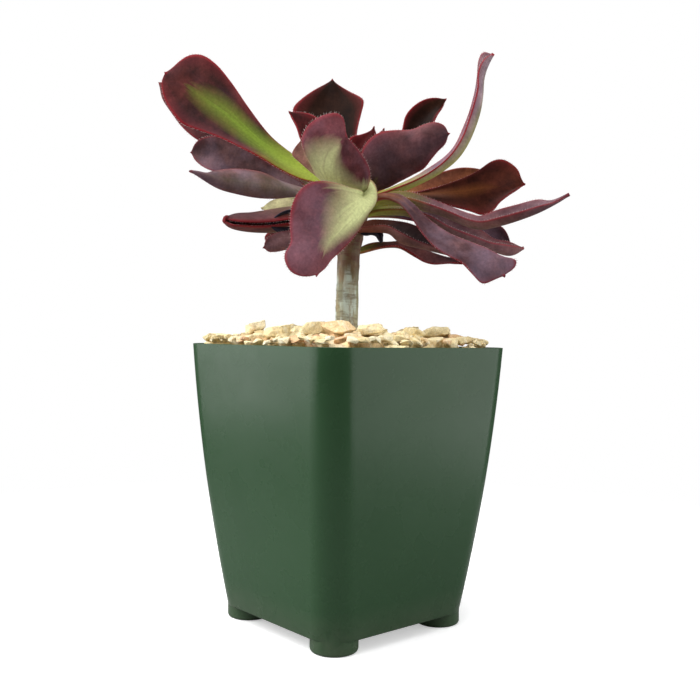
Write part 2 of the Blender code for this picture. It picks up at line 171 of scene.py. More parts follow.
def mix_colour(tree, share, first, second, blend="MIX"):
    """Mixes two colours; each input may be a socket or a plain value."""
    node = tree.nodes.new("ShaderNodeMix")
    node.data_type = "RGBA"
    node.blend_type = blend
    for index, value in ((0, share), (6, first), (7, second)):
        if isinstance(value, bpy.types.NodeSocket):
            tree.links.new(value, node.inputs[index])
        else:
            node.inputs[index].default_value = value if index == 0 else (*value, 1.0)
    return node.outputs[2]


def calculate(tree, operation, first, second=0.0, clamp=False):
    """One sum on sockets or plain numbers."""
    node = tree.nodes.new("ShaderNodeMath")
    node.operation = operation
    node.use_clamp = clamp
    for index, value in enumerate((first, second)):
        if isinstance(value, bpy.types.NodeSocket):
            tree.links.new(value, node.inputs[index])
        else:
            node.inputs[index].default_value = value
    return node.outputs[0]


def bump(tree, shader, height, strength, distance):
    node = add_node(tree, "ShaderNodeBump", Strength=strength, Distance=distance)
    tree.links.new(height, node.inputs["Height"])
    tree.links.new(node.outputs["Normal"], shader.inputs["Normal"])


def height_share(tree, first, second):
    """Where a point of the piece lies between two heights: 0 at the first, 1 at the second."""
    position = add_node(tree, "ShaderNodeSeparateXYZ")
    tree.links.new(add_node(tree, "ShaderNodeTexCoord").outputs["Object"], position.inputs[0])
    share = add_node(tree, "ShaderNodeMapRange", **{"From Min": first, "From Max": second})
    tree.links.new(position.outputs["Z"], share.inputs["Value"])
    return share.outputs[0]


def pot_share(height):
    """Width of the pot at a height, against its rim."""
    rise = (height - POT_FLOOR) / (POT_TOP - POT_FLOOR)
    return POT_BASE_SHARE + (1.0 - POT_BASE_SHARE) * (rise + POT_BELLY * rise * (1.0 - rise))


def finish_pot():
    """Dark green polypropylene: satin, faintly orange-peeled, with dust low down and gloss that varies a
    little.
    """
    material, tree, shader = new_material("green polypropylene")
    broad = noise_at(tree, 14.0, 3.0)
    fine = noise_at(tree, 900.0, 2.0)
    tone = ramp(tree, broad, (0.3, (0.024, 0.059, 0.026)), (0.7, (0.028, 0.067, 0.030)))
    low_down = height_share(tree, DUST_HEIGHT, 0.0)
    dust = calculate(tree, "MULTIPLY", low_down, noise_at(tree, 300.0, 5.0), clamp=True)
    dust = calculate(tree, "MULTIPLY", dust, 0.2)
    tree.links.new(mix_colour(tree, dust, tone, (0.30, 0.27, 0.22)), shader.inputs["Base Color"])
    gloss = ramp(tree, noise_at(tree, 60.0, 6.0), (0.35, 0.24), (0.65, 0.31))
    tree.links.new(gloss, shader.inputs["Roughness"])
    shader.inputs["Specular IOR Level"].default_value = 0.14
    bump(tree, shader, fine, 0.10, 0.0002)
    return material


pot = start_piece("nursery_pot", bpy.ops.mesh.primitive_cube_add, size=POT_SIDE,
                  location=(0, 0, POT_SIDE / 2))
settle_place(pot)
bpy.ops.object.mode_set(mode="EDIT")
pick(lambda vert, middle: middle.z > POT_SIDE / 2)
bpy.ops.transform.translate(value=(0, 0, POT_TOP - POT_SIDE))
pick(lambda vert, middle: middle.z < POT_SIDE / 2)
bpy.ops.transform.translate(value=(0, 0, POT_FLOOR))
pick(lambda face, middle: middle.z > POT_TOP - MM, "FACE")
bpy.ops.mesh.delete(type="FACE")
ring_heights = [POT_FLOOR + (POT_TOP - POT_FLOOR) * ring / POT_RINGS for ring in range(POT_RINGS + 1)]
for ring_height in ring_heights[1:-1]:
    bpy.ops.mesh.select_all(action="SELECT")
    bpy.ops.mesh.bisect(plane_co=(0, 0, ring_height), plane_no=(0, 0, 1))
pick(lambda edge, middle: abs(edge.verts[0].co.z - edge.verts[1].co.z) > MM, "EDGE")
bpy.ops.mesh.bevel(offset=POT_CORNER, segments=12, affect="EDGES")
for ring_height in ring_heights:
    shrink = POT_SIDE / 2 * (1.0 - pot_share(ring_height))
    for axis in (0, 1):
        for sign in (1, -1):
            pick(lambda vert, middle: abs(middle.z - ring_height) < MM / 2 and middle[axis] * sign > MM)
            inwards = Vector((0, 0, 0))
            inwards[axis] = -sign * shrink
            bpy.ops.transform.translate(value=inwards)
pick(lambda edge, middle: all(vert.co.z < POT_FLOOR + 0.1 * MM for vert in edge.verts), "EDGE")
bpy.ops.mesh.bevel(offset=BASE_ROUND, segments=3, affect="EDGES")
bpy.ops.mesh.select_all(action="SELECT")
bpy.ops.mesh.normals_make_consistent(inside=False)
bpy.ops.object.mode_set(mode="OBJECT")
wall = pot.modifiers.new("wall", "SOLIDIFY")
wall.thickness = POT_WALL
wall.offset = -1.0
rim_round = pot.modifiers.new("rim", "BEVEL")
rim_round.width = RIM_ROUND
rim_round.segments = 3
rim_round.limit_method = "ANGLE"
rim_round.angle_limit = math.radians(60)
apply_modifiers(pot)


def mould(part, operation):
    """Joins a part to the pot, or cuts it away, and removes the part."""
    merge = pot.modifiers.new(part.name, "BOOLEAN")
    merge.operation = operation
    merge.object = part
    apply_modifiers(pot)
    bpy.data.objects.remove(part)


for foot_x, foot_y in FOOT_CORNERS:
    foot = start_piece("foot", bpy.ops.mesh.primitive_cylinder_add, vertices=64, radius=FOOT_RADIUS,
                       depth=FOOT_HEIGHT,
                       location=(foot_x * FOOT_INSET, foot_y * FOOT_INSET, FOOT_HEIGHT / 2))
    settle_place(foot)
    bpy.ops.object.mode_set(mode="EDIT")
    pick(lambda edge, middle: edge.verts[0].co.z < 0.1 * MM and edge.verts[1].co.z < 0.1 * MM, "EDGE")
    bpy.ops.mesh.bevel(offset=FOOT_ROUND, segments=5, affect="EDGES")
    bpy.ops.object.mode_set(mode="OBJECT")
    mould(foot, "UNION")
for quarter in range(4):
    bearing = quarter * math.pi / 2
    drain = start_piece("drain", bpy.ops.mesh.primitive_cylinder_add, vertices=48, radius=DRAIN_RADIUS,
                        depth=4 * POT_FLOOR,
                        location=(DRAIN_CIRCLE * math.cos(bearing), DRAIN_CIRCLE * math.sin(bearing), 0))
    settle_place(drain)
    mould(drain, "DIFFERENCE")
take_alone(pot)
bpy.ops.object.shade_smooth_by_angle(angle=math.radians(32))
give_finish(pot, finish_pot())
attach(pot, "root")
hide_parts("pot")

# ---------------------------------------------------------------------------------------------------------
# Soil: bark and peat potting mix that fills the pot under the stones, seen only through the drain holes.
# ---------------------------------------------------------------------------------------------------------


def finish_soil():
    material, tree, shader = new_material("potting mix")
    crumbs = noise_at(tree, 500.0, 8.0, 0.7)
    tree.links.new(ramp(tree, crumbs, (0.35, (0.012, 0.007, 0.004)), (0.62, (0.075, 0.045, 0.025)),
                        (0.72, (0.17, 0.12, 0.075))), shader.inputs["Base Color"])
    shader.inputs["Roughness"].default_value = 0.95
    bump(tree, shader, crumbs, 1.0, 0.0012)
    return material


give_finish(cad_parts["soil"], finish_soil())

# ---------------------------------------------------------------------------------------------------------
# Gravel: a mounded top dressing of angular crushed limestone chips, poured over the soil. Eight chip shapes
# are cut once and copied hundreds of times. Each copy drops until it lies on the chips under it.
# ---------------------------------------------------------------------------------------------------------
BED_FLOOR = 98.5 * MM
BED_CROWN = 108.8 * MM
BED_EDGE = 105.9 * MM
BED_REACH = POT_SIDE / 2 - POT_WALL - 0.3 * MM
CHIP_SHAPES = 8
CHIP_TRIES = 14000                      # most tries find no room; some 450 chips come to lie
CHIP_CUTS = 11
CHIP_EDGE = 0.022                       # bevel of its broken edges, as a share of its size
CHIP_LEAN = 0.30                        # spread of its tilt, in radians
CHIP_CRUMB, CHIP_SMALL, CHIP_LARGE = 3.6 * MM, 5.0 * MM, 12.0 * MM
CHIP_NEST = 0.35 * MM                   # how far a chip beds into those under it
CHIP_PROUD = 2.0 * MM                   # how far a chip may stand above the mound
WALL_BAND, STEM_BAND = 4.0 * MM, 9.0 * MM     # only crumbs fit this close to the walls and the stem
STEM_FOOT = Vector((-0.45 * MM, -0.6 * MM))
STEM_CLEAR = 4.9 * MM
BED_CORNER = 10.0 * MM
CELL = 0.6 * MM
UNDERLAY_CUTS = 60                      # the underlay shows as grit between the chips
UNDERLAY_SIDE = 2 * BED_REACH - 1 * MM
UNDERLAY_TOP = BED_FLOOR + 0.6 * MM
UNDERLAY_FOOT = 96.4 * MM
UNDERLAY_RIPPLE = 0.8 * MM
pour = np.random.default_rng(11)


def crush(name, size, flatness, cuts, rng, soft):
    """One angular chip: a block with its corners broken off by flat cuts. Returns it with its flat faces."""
    chip = start_piece(name, bpy.ops.mesh.primitive_cube_add, size=size)
    bpy.ops.object.mode_set(mode="EDIT")
    bpy.ops.transform.resize(value=(1.0, flatness[0], flatness[1]))
    for _ in range(cuts):
        way = rng.normal(size=3)
        way /= np.linalg.norm(way)
        half = np.array((1.0, flatness[0], flatness[1])) * size / 2
        reach = float(np.sqrt(np.sum((way * half) ** 2)))
        depth = rng.uniform(0.80, 1.02)
        bpy.ops.mesh.select_all(action="SELECT")
        bpy.ops.mesh.bisect(plane_co=tuple(way * reach * depth), plane_no=tuple(way), use_fill=True,
                            clear_outer=True)
    bpy.ops.mesh.select_all(action="SELECT")
    bpy.ops.mesh.remove_doubles(threshold=size * 0.02)
    bpy.ops.object.mode_set(mode="OBJECT")
    flats = [(np.array(face.normal), float(face.normal.dot(face.center))) for face in chip.data.polygons]
    bpy.ops.object.mode_set(mode="EDIT")
    bpy.ops.mesh.select_all(action="SELECT")
    bpy.ops.mesh.bevel(offset=soft, segments=1, affect="EDGES")
    bpy.ops.mesh.select_all(action="SELECT")
    bpy.ops.mesh.normals_make_consistent(inside=False)
    bpy.ops.object.mode_set(mode="OBJECT")
    return chip, flats


def roughen(stone, depth, size):
    """Breaks the flat faces of a chip into the rough skin of crushed stone."""
    take_alone(stone)
    bpy.ops.object.mode_set(mode="EDIT")
    bpy.ops.mesh.select_all(action="SELECT")
    bpy.ops.mesh.quads_convert_to_tris()
    bpy.ops.mesh.subdivide(number_cuts=3)
    bpy.ops.object.mode_set(mode="OBJECT")
    own_grain = Vector((size * 9e3, 0, 0))
    for vert in stone.data.vertices:
        shift = noise.fractal(vert.co * 420 + own_grain, 0.9, 2.1, 4)
        vert.co += vert.normal * depth * shift


def mound(x, y):
    """Height that the gravel is heaped to."""
    share = np.maximum(np.abs(x), np.abs(y)) / BED_REACH
    return BED_CROWN + (BED_EDGE - BED_CROWN) * share ** 2


cells = np.arange(-BED_REACH, BED_REACH + CELL, CELL)
cell_x, cell_y = np.meshgrid(cells, cells, indexing="ij")
heap = np.full(cell_x.shape, BED_FLOOR)


def outline_of(flats, turn, reach, spot):
    """Cells under a turned chip, with how low and how high it reaches over each, from its own middle."""
    near = (np.abs(cell_x - spot[0]) < reach) & (np.abs(cell_y - spot[1]) < reach)
    x, y = cell_x[near] - spot[0], cell_y[near] - spot[1]
    low, high = np.full(x.shape, -np.inf), np.full(x.shape, np.inf)
    for normal, distance in flats:
        n = turn @ normal
        if abs(n[2]) < 1e-4:
            continue
        z = (distance - n[0] * x - n[1] * y) / n[2]
        if n[2] > 0:
            high = np.minimum(high, z)
        else:
            low = np.maximum(low, z)
    return near, low, high, high > low


def random_turn(rng, tilt):
    """A turn about Z with the chip lying nearly flat, as poured stones do."""
    spin = Matrix.Rotation(rng.uniform(0, 2 * math.pi), 3, "Z")
    lean = Matrix.Rotation(rng.normal() * tilt, 3, "X")
    roll = Matrix.Rotation(rng.normal() * tilt, 3, "Y")
    return np.array(spin @ lean @ roll)


def drop(flats, turn, scale, reach, spot, sink):
    """Where a chip comes to lie, or None where it finds no room; the heap then grows by it."""
    scaled = [(normal, distance * scale) for normal, distance in flats]
    near, low, high, inside = outline_of(scaled, turn, reach, spot)
    if not inside.any():
        return None
    rest = np.max(heap[near][inside] - low[inside]) - sink
    return rest, near, rest + high, inside


def keep_drop(landing):
    """Adds a landed chip to the heap."""
    _, near, tops, inside = landing
    patch = heap[near]
    patch[inside] = np.maximum(patch[inside], tops[inside])
    heap[near] = patch


def finish_stone():
    """Crushed limestone: cream and straw chips with rusty stains, a few pinkish, dull and slightly rough."""
    material, tree, shader = new_material("crushed limestone")
    tone = add_node(tree, "ShaderNodeAttribute", attribute_name="chip tone").outputs["Fac"]
    body = ramp(tree, tone, (0.0, (0.88, 0.75, 0.44)), (0.35, (0.85, 0.69, 0.37)),
                (0.65, (0.92, 0.83, 0.57)), (0.88, (0.82, 0.58, 0.30)), (1.0, (0.70, 0.42, 0.24)))
    stain_noise = noise_at(tree, 150.0, 6.0, 0.65)
    stained = ramp(tree, stain_noise, (0.54, 0.0), (0.70, 0.6))
    body = mix_colour(tree, stained, body, (0.56, 0.33, 0.13))
    grain = noise_at(tree, 1400.0, 5.0, 0.7)
    speckle = ramp(tree, grain, (0.36, 0.72), (0.62, 1.04))
    body = mix_colour(tree, 1.0, body, speckle, "MULTIPLY")
    pale = ramp(tree, noise_at(tree, 420.0, 4.0), (0.54, 0.0), (0.66, 0.5))
    body = mix_colour(tree, pale, body, (0.93, 0.88, 0.70))
    tree.links.new(body, shader.inputs["Base Color"])
    shader.inputs["Roughness"].default_value = 0.88
    rough = calculate(tree, "ADD", grain, calculate(tree, "MULTIPLY", noise_at(tree, 350.0, 4.0), 2.0))
    bump(tree, shader, rough, 0.55, 0.00035)
    return material


stone_finish = finish_stone()
shapes = [crush(f"chip_{i}", 1.0, (pour.uniform(0.55, 0.85), pour.uniform(0.28, 0.46)), CHIP_CUTS, pour,
                CHIP_EDGE) for i in range(CHIP_SHAPES)]
bed = bmesh.new()
tone_layer = bed.verts.layers.float.new("chip tone")
for _ in range(CHIP_TRIES):
    picks = pour.integers(0, heap.size, 30)
    hollow = mound(cell_x.flat[picks], cell_y.flat[picks]) - heap.flat[picks]
    best = picks[int(np.argmax(hollow))]
    spot = (cell_x.flat[best], cell_y.flat[best])
    from_stem = math.hypot(spot[0] - STEM_FOOT.x, spot[1] - STEM_FOOT.y)
    tight = max(abs(spot[0]), abs(spot[1])) > BED_REACH - WALL_BAND or from_stem < STEM_BAND
    size = pour.uniform(*((CHIP_CRUMB, CHIP_SMALL) if tight else (CHIP_SMALL, CHIP_LARGE)))
    shape, flats = shapes[pour.integers(0, CHIP_SHAPES)]
    turn = random_turn(pour, CHIP_LEAN)
    tone = pour.uniform()
    corners = np.array([turn @ np.array(vert.co) for vert in shape.data.vertices]) * size
    far = np.abs(corners[:, :2] + spot)
    past_corner = np.maximum(far - BED_REACH + BED_CORNER, 0)
    if far.max() > BED_REACH or np.hypot(past_corner[:, 0], past_corner[:, 1]).max() > BED_CORNER:
        continue
    if from_stem < STEM_CLEAR + 0.45 * size:
        continue
    landing = drop(flats, turn, size, size, spot, CHIP_NEST)
    if landing is None:
        continue
    rest = landing[0]
    if rest + corners[:, 2].max() > mound(*spot) + CHIP_PROUD:
        continue
    keep_drop(landing)
    copy = shape.data.copy()
    resting = Matrix.Translation((*spot, rest)) @ Matrix(turn).to_4x4()
    copy.transform(resting @ Matrix.Scale(size, 4))
    start = len(bed.verts)
    bed.from_mesh(copy)
    bed.verts.ensure_lookup_table()
    for vert in bed.verts[start:]:
        vert[tone_layer] = tone
    bpy.data.meshes.remove(copy)
gravel = start_piece("gravel_bed", bpy.ops.mesh.primitive_grid_add, x_subdivisions=UNDERLAY_CUTS,
                     y_subdivisions=UNDERLAY_CUTS, size=UNDERLAY_SIDE, location=(0, 0, UNDERLAY_TOP))
settle_place(gravel)
base = bmesh.new()
base.from_mesh(gravel.data)
for vert in base.verts:
    vert.co.z += UNDERLAY_RIPPLE * noise.noise(vert.co * 300)
corner_start = BED_REACH - BED_CORNER
corner_round = BED_CORNER - 0.5 * MM
for vert in base.verts:
    over = Vector((max(abs(vert.co.x) - corner_start, 0), max(abs(vert.co.y) - corner_start, 0)))
    if over.length > corner_round:
        over = over * (corner_round / over.length)
        for axis in (0, 1):
            if abs(vert.co[axis]) > corner_start:
                vert.co[axis] = math.copysign(corner_start + over[axis], vert.co[axis])
skirt = bmesh.ops.extrude_face_region(base, geom=list(base.faces), use_keep_orig=True)["geom"]
for item in skirt:
    if isinstance(item, bmesh.types.BMVert):
        item.co.z = UNDERLAY_FOOT
bmesh.ops.recalc_face_normals(base, faces=base.faces)
base.verts.layers.float.new("chip tone")
base.to_mesh(gravel.data)
base.free()
bed.from_mesh(gravel.data)
bed.to_mesh(gravel.data)
bed.free()
give_finish(gravel, stone_finish)
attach(gravel, "root")
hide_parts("gravel")

# ---------------------------------------------------------------------------------------------------------
# Loose stones: the eighteen larger chips that lie on top of the bed, each a stone of its own. They are of
# the same crushed limestone, and each is bedded a little into the chips under it.
# ---------------------------------------------------------------------------------------------------------
STONE_COUNT = 18
STONE_SHARE, STONE_SHARE_BY_STEM = 1.3, 0.8     # its size against the CAD stone's; smaller near the stem
STEM_NEIGHBOUR = 17.0 * MM
STONE_CUTS = 14
STONE_ROUGH = 0.30 * MM
STONE_EDGE = 0.16 * MM
STONE_LEAN = 0.16
STONE_NEST = 1.3 * MM

for number in range(1, STONE_COUNT + 1):
    node = f"stone_{number:02d}"
    low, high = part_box(node)
    middle = (low + high) / 2
    by_stem = math.hypot(middle.x - STEM_FOOT.x, middle.y - STEM_FOOT.y) < STEM_NEIGHBOUR
    size = (STONE_SHARE_BY_STEM if by_stem else STONE_SHARE) * max(high.x - low.x, high.y - low.y)
    flatness = (pour.uniform(0.42, 0.72), pour.uniform(0.26, 0.40))
    stone, flats = crush(f"loose_{node}", size, flatness, STONE_CUTS, pour, STONE_EDGE)
    roughen(stone, STONE_ROUGH, size)
    turn = random_turn(pour, STONE_LEAN)
    landing = drop(flats, turn, 1.0, size * 0.75, (middle.x, middle.y), STONE_NEST)
    keep_drop(landing)
    stone.data.transform(Matrix.Translation((middle.x, middle.y, landing[0])) @ Matrix(turn).to_4x4())
    tones = stone.data.attributes.new("chip tone", "FLOAT", "POINT")
    tone = pour.uniform(0.0, 0.85)
    tones.data.foreach_set("value", [tone] * len(stone.data.vertices))
    give_finish(stone, stone_finish)
    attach(stone, "root")
    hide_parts(node)
for shape, _ in shapes:
    bpy.data.objects.remove(shape)

# ---------------------------------------------------------------------------------------------------------
# Stem: one woody stem, ringed with the scars of fallen leaves, grey-green bark below and red-brown under
# the rosette. It stands in the soil and comes up through the gravel.
# ---------------------------------------------------------------------------------------------------------
PLANT_TURN = Matrix.Rotation(math.radians(49.2), 4, "Z")      # the plant's own frame, turned in the pot
STEM = np.array((                       # x, z and radius in millimetres, bottom to top
    (-0.1, 88.0, 4.3),
    (-0.1, 110.0, 4.3),
    (0.0, 126.0, 4.2),
    (0.3, 139.0, 4.2),
    (1.6, 149.0, 4.9),
    (3.4, 159.0, 5.2),
    (4.6, 167.0, 4.2),
    (5.2, 172.5, 2.2),
))
STEM_SIDES = 56
STEM_CUTS = 150
STEM_GIRTH = 4.3                        # radius that the scars are laid out on
SCAR_COUNT = 34
SCAR_TURN = 2.399963                    # the golden angle, in radians, by which leaves follow each other
SCAR_FIRST, SCAR_RISE = 101.0, 2.15
SCAR_HIGH, SCAR_WIDE = 1.35, 2.9
SCAR_DROOP = 0.10
STEM_SHOULDER, STEM_DOME = 168.0, 4.55  # height where the stem's end starts to round off, and its length
LIP_RISE, LIP_SPREAD, SCAR_DEPTH, WRINKLE = 0.15, 0.13, 0.12, 0.30
BARK_LOW, BARK_HIGH = 104.0 * MM, 170.0 * MM    # heights between which the bark changes colour


def planted(points):
    """Points of the plant's own frame, in millimetres, placed in the pot in metres."""
    turn = np.array(PLANT_TURN.to_3x3())
    return (np.asarray(points, float) @ turn.T) * MM


def stem_at(height):
    """The stem's middle and radius at a height, in millimetres."""
    x = np.interp(height, STEM[:, 1], STEM[:, 0])
    return np.stack((x, 0 * x, height + 0 * x), axis=-1), np.interp(height, STEM[:, 1], STEM[:, 2])


def scar_pattern(angle, height):
    """How far a point is inside its nearest leaf scar: 1 in the middle, 0 on the lip, less outside."""
    depth = np.full(np.shape(angle), -1.0)
    for scar in range(SCAR_COUNT):
        turned = (angle - SCAR_TURN * scar + math.pi) % (2 * math.pi) - math.pi
        across = turned * STEM_GIRTH
        along = height - (SCAR_FIRST + SCAR_RISE * scar) + SCAR_DROOP * across ** 2
        depth = np.maximum(depth, 1.0 - np.hypot(across / SCAR_WIDE, along / SCAR_HIGH))
    return depth


def drawn_out(tree, scale, source="Object"):
    """The piece's own coordinates, drawn out or pressed together along each axis."""
    mapping = add_node(tree, "ShaderNodeMapping", Scale=scale)
    tree.links.new(add_node(tree, "ShaderNodeTexCoord").outputs[source], mapping.inputs["Vector"])
    return mapping.outputs[0]


def finish_stem():
    """Bark: straw-brown and cracked low down, with patches of blue-white skin, red-brown near the leaves."""
    material, tree, shader = new_material("succulent bark")
    height = height_share(tree, BARK_LOW, BARK_HIGH)
    lengthwise = drawn_out(tree, (1.0, 1.0, 0.35))
    patches = noise_at(tree, 420.0, 5.0, 0.6, lengthwise)
    fibres = noise_at(tree, 1500.0, 4.0, 0.6, lengthwise)
    along = calculate(tree, "ADD", height, calculate(tree, "MULTIPLY", patches, 0.16))
    skin = ramp(tree, along, (0.12, (0.50, 0.46, 0.30)), (0.40, (0.26, 0.28, 0.17)),
                (0.52, (0.11, 0.060, 0.024)), (0.62, (0.095, 0.024, 0.012)), (0.95, (0.08, 0.018, 0.012)))
    long_marks = noise_at(tree, 230.0, 3.0, 0.5, drawn_out(tree, (1.0, 1.0, 0.2)))
    bloom = ramp(tree, long_marks, (0.50, 0.0), (0.58, 0.85))
    bloom = calculate(tree, "MULTIPLY", bloom, ramp(tree, height, (0.38, 1.0), (0.50, 0.0)))
    skin = mix_colour(tree, bloom, skin, (0.60, 0.70, 0.64))
    ringed = noise_at(tree, 300.0, 4.0, 0.6, drawn_out(tree, (0.5, 0.5, 2.2)))
    skin = mix_colour(tree, ramp(tree, ringed, (0.46, 0.0), (0.60, 0.65)), skin, (0.13, 0.10, 0.045))
    bark = ramp(tree, patches, (0.48, 0.0), (0.60, 0.8))
    bark = calculate(tree, "MULTIPLY", bark, ramp(tree, height, (0.10, 1.0), (0.55, 0.25)))
    colour = mix_colour(tree, bark, skin, (0.26, 0.17, 0.07))
    scar = add_node(tree, "ShaderNodeAttribute", attribute_name="scar").outputs["Fac"]
    colour = mix_colour(tree, ramp(tree, scar, (0.02, 0.0), (0.25, 0.25)), colour, (0.17, 0.115, 0.055))
    lip = ramp(tree, scar, (0.0, 0.0), (0.06, 0.30), (0.16, 0.0))
    colour = mix_colour(tree, lip, colour, (0.09, 0.05, 0.025))
    tree.links.new(colour, shader.inputs["Base Color"])
    shader.inputs["Roughness"].default_value = 0.66
    rough = calculate(tree, "ADD", fibres, calculate(tree, "MULTIPLY", patches, 2.0))
    bump(tree, shader, rough, 0.5, 0.0004)
    return material


stem = start_piece("stem_bark", bpy.ops.mesh.primitive_cylinder_add, vertices=STEM_SIDES, radius=1.0,
                   depth=1.0, end_fill_type="TRIFAN")
bpy.ops.object.mode_set(mode="EDIT")
pick(lambda edge, middle: abs(edge.verts[0].co.z - edge.verts[1].co.z) > 0.5, "EDGE")
bpy.ops.mesh.subdivide(number_cuts=STEM_CUTS)
bpy.ops.object.mode_set(mode="OBJECT")
loose = np.empty(len(stem.data.vertices) * 3)
stem.data.vertices.foreach_get("co", loose)
loose = loose.reshape(-1, 3)
share = loose[:, 2] + 0.5
height = STEM[0, 1] + share * (STEM[-1, 1] - STEM[0, 1])
angle = np.arctan2(loose[:, 1], loose[:, 0])
middle, radius = stem_at(height)
past_shoulder = np.clip(height - STEM_SHOULDER, 0.0, STEM[-1, 1] - STEM_SHOULDER)
radius = radius * np.sqrt(np.clip(1.0 - (past_shoulder / STEM_DOME) ** 2, 0.0, 1.0))
inside = scar_pattern(angle, height)
lip = LIP_RISE * np.exp(-(inside / LIP_SPREAD) ** 2) - SCAR_DEPTH * np.clip(inside, 0, 1)
wrinkle = np.array([noise.noise(Vector((3.2 * math.cos(a), 3.2 * math.sin(a), h / 9.0)))
                    for a, h in zip(angle, height)])
reach = (radius + lip + WRINKLE * wrinkle) * np.hypot(loose[:, 0], loose[:, 1])
stem_points = middle + np.stack((reach * np.cos(angle), reach * np.sin(angle), 0 * reach), axis=1)
stem.data.vertices.foreach_set("co", planted(stem_points).ravel())
scars = stem.data.attributes.new("scar", "FLOAT", "POINT")
scars.data.foreach_set("value", np.clip(inside, 0, 1).astype(np.float32))
stem.data.shade_smooth()
give_finish(stem, finish_stem())
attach(stem, "root")
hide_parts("stem")

# ---------------------------------------------------------------------------------------------------------
# Leaves: fleshy blades grown from the top of the stem, each a stalk that widens into a paddle with a small
# red point at its tip and a fringe of pale hairs along its margins. Measures are in millimetres and degrees
# in the plant's own frame, x to the right, y away, z up.
# ---------------------------------------------------------------------------------------------------------
LEAF_ROWS = 48
LEAF_COLUMNS = 14
POINT_ROWS = 3                      # rows that form the red point at the tip
POINT_STEP = 0.19
FLESH = 2.2
FLESH_LIFT = -0.35                  # how the flesh lies about the drawn blade: -1 below it, 1 above it
MARGIN_SHARE = 0.22                 # thickness at the margins, as a share of the flesh at the midrib
END_HALF, END_TAPER, END_LEAST = 0.42, 0.75, 0.04      # half width of a blade's two ends, and of its point
WAVE = 1.2                          # how far a blade's skin rises and falls
RUN_STEPS = 160
HAIR_SPACING = 1.0
HAIR_FROM, HAIR_RUN = 0.17, 0.80    # share of the margin where the hairs start, and that they cover
HAIR_SHORT, HAIR_TALL = 0.35, 0.7
HAIR_ROOT = 0.35                    # how deep a hair is rooted in the flesh

# A leaf is spanned between its left margin, its midrib and its right margin, as seen from above with the
# tip ahead. belly is how far a rolled leaf's two halves bulge, left and right.
Leaf = namedtuple("Leaf", "node skin left rib right belly", defaults=((0.0, 0.0),))
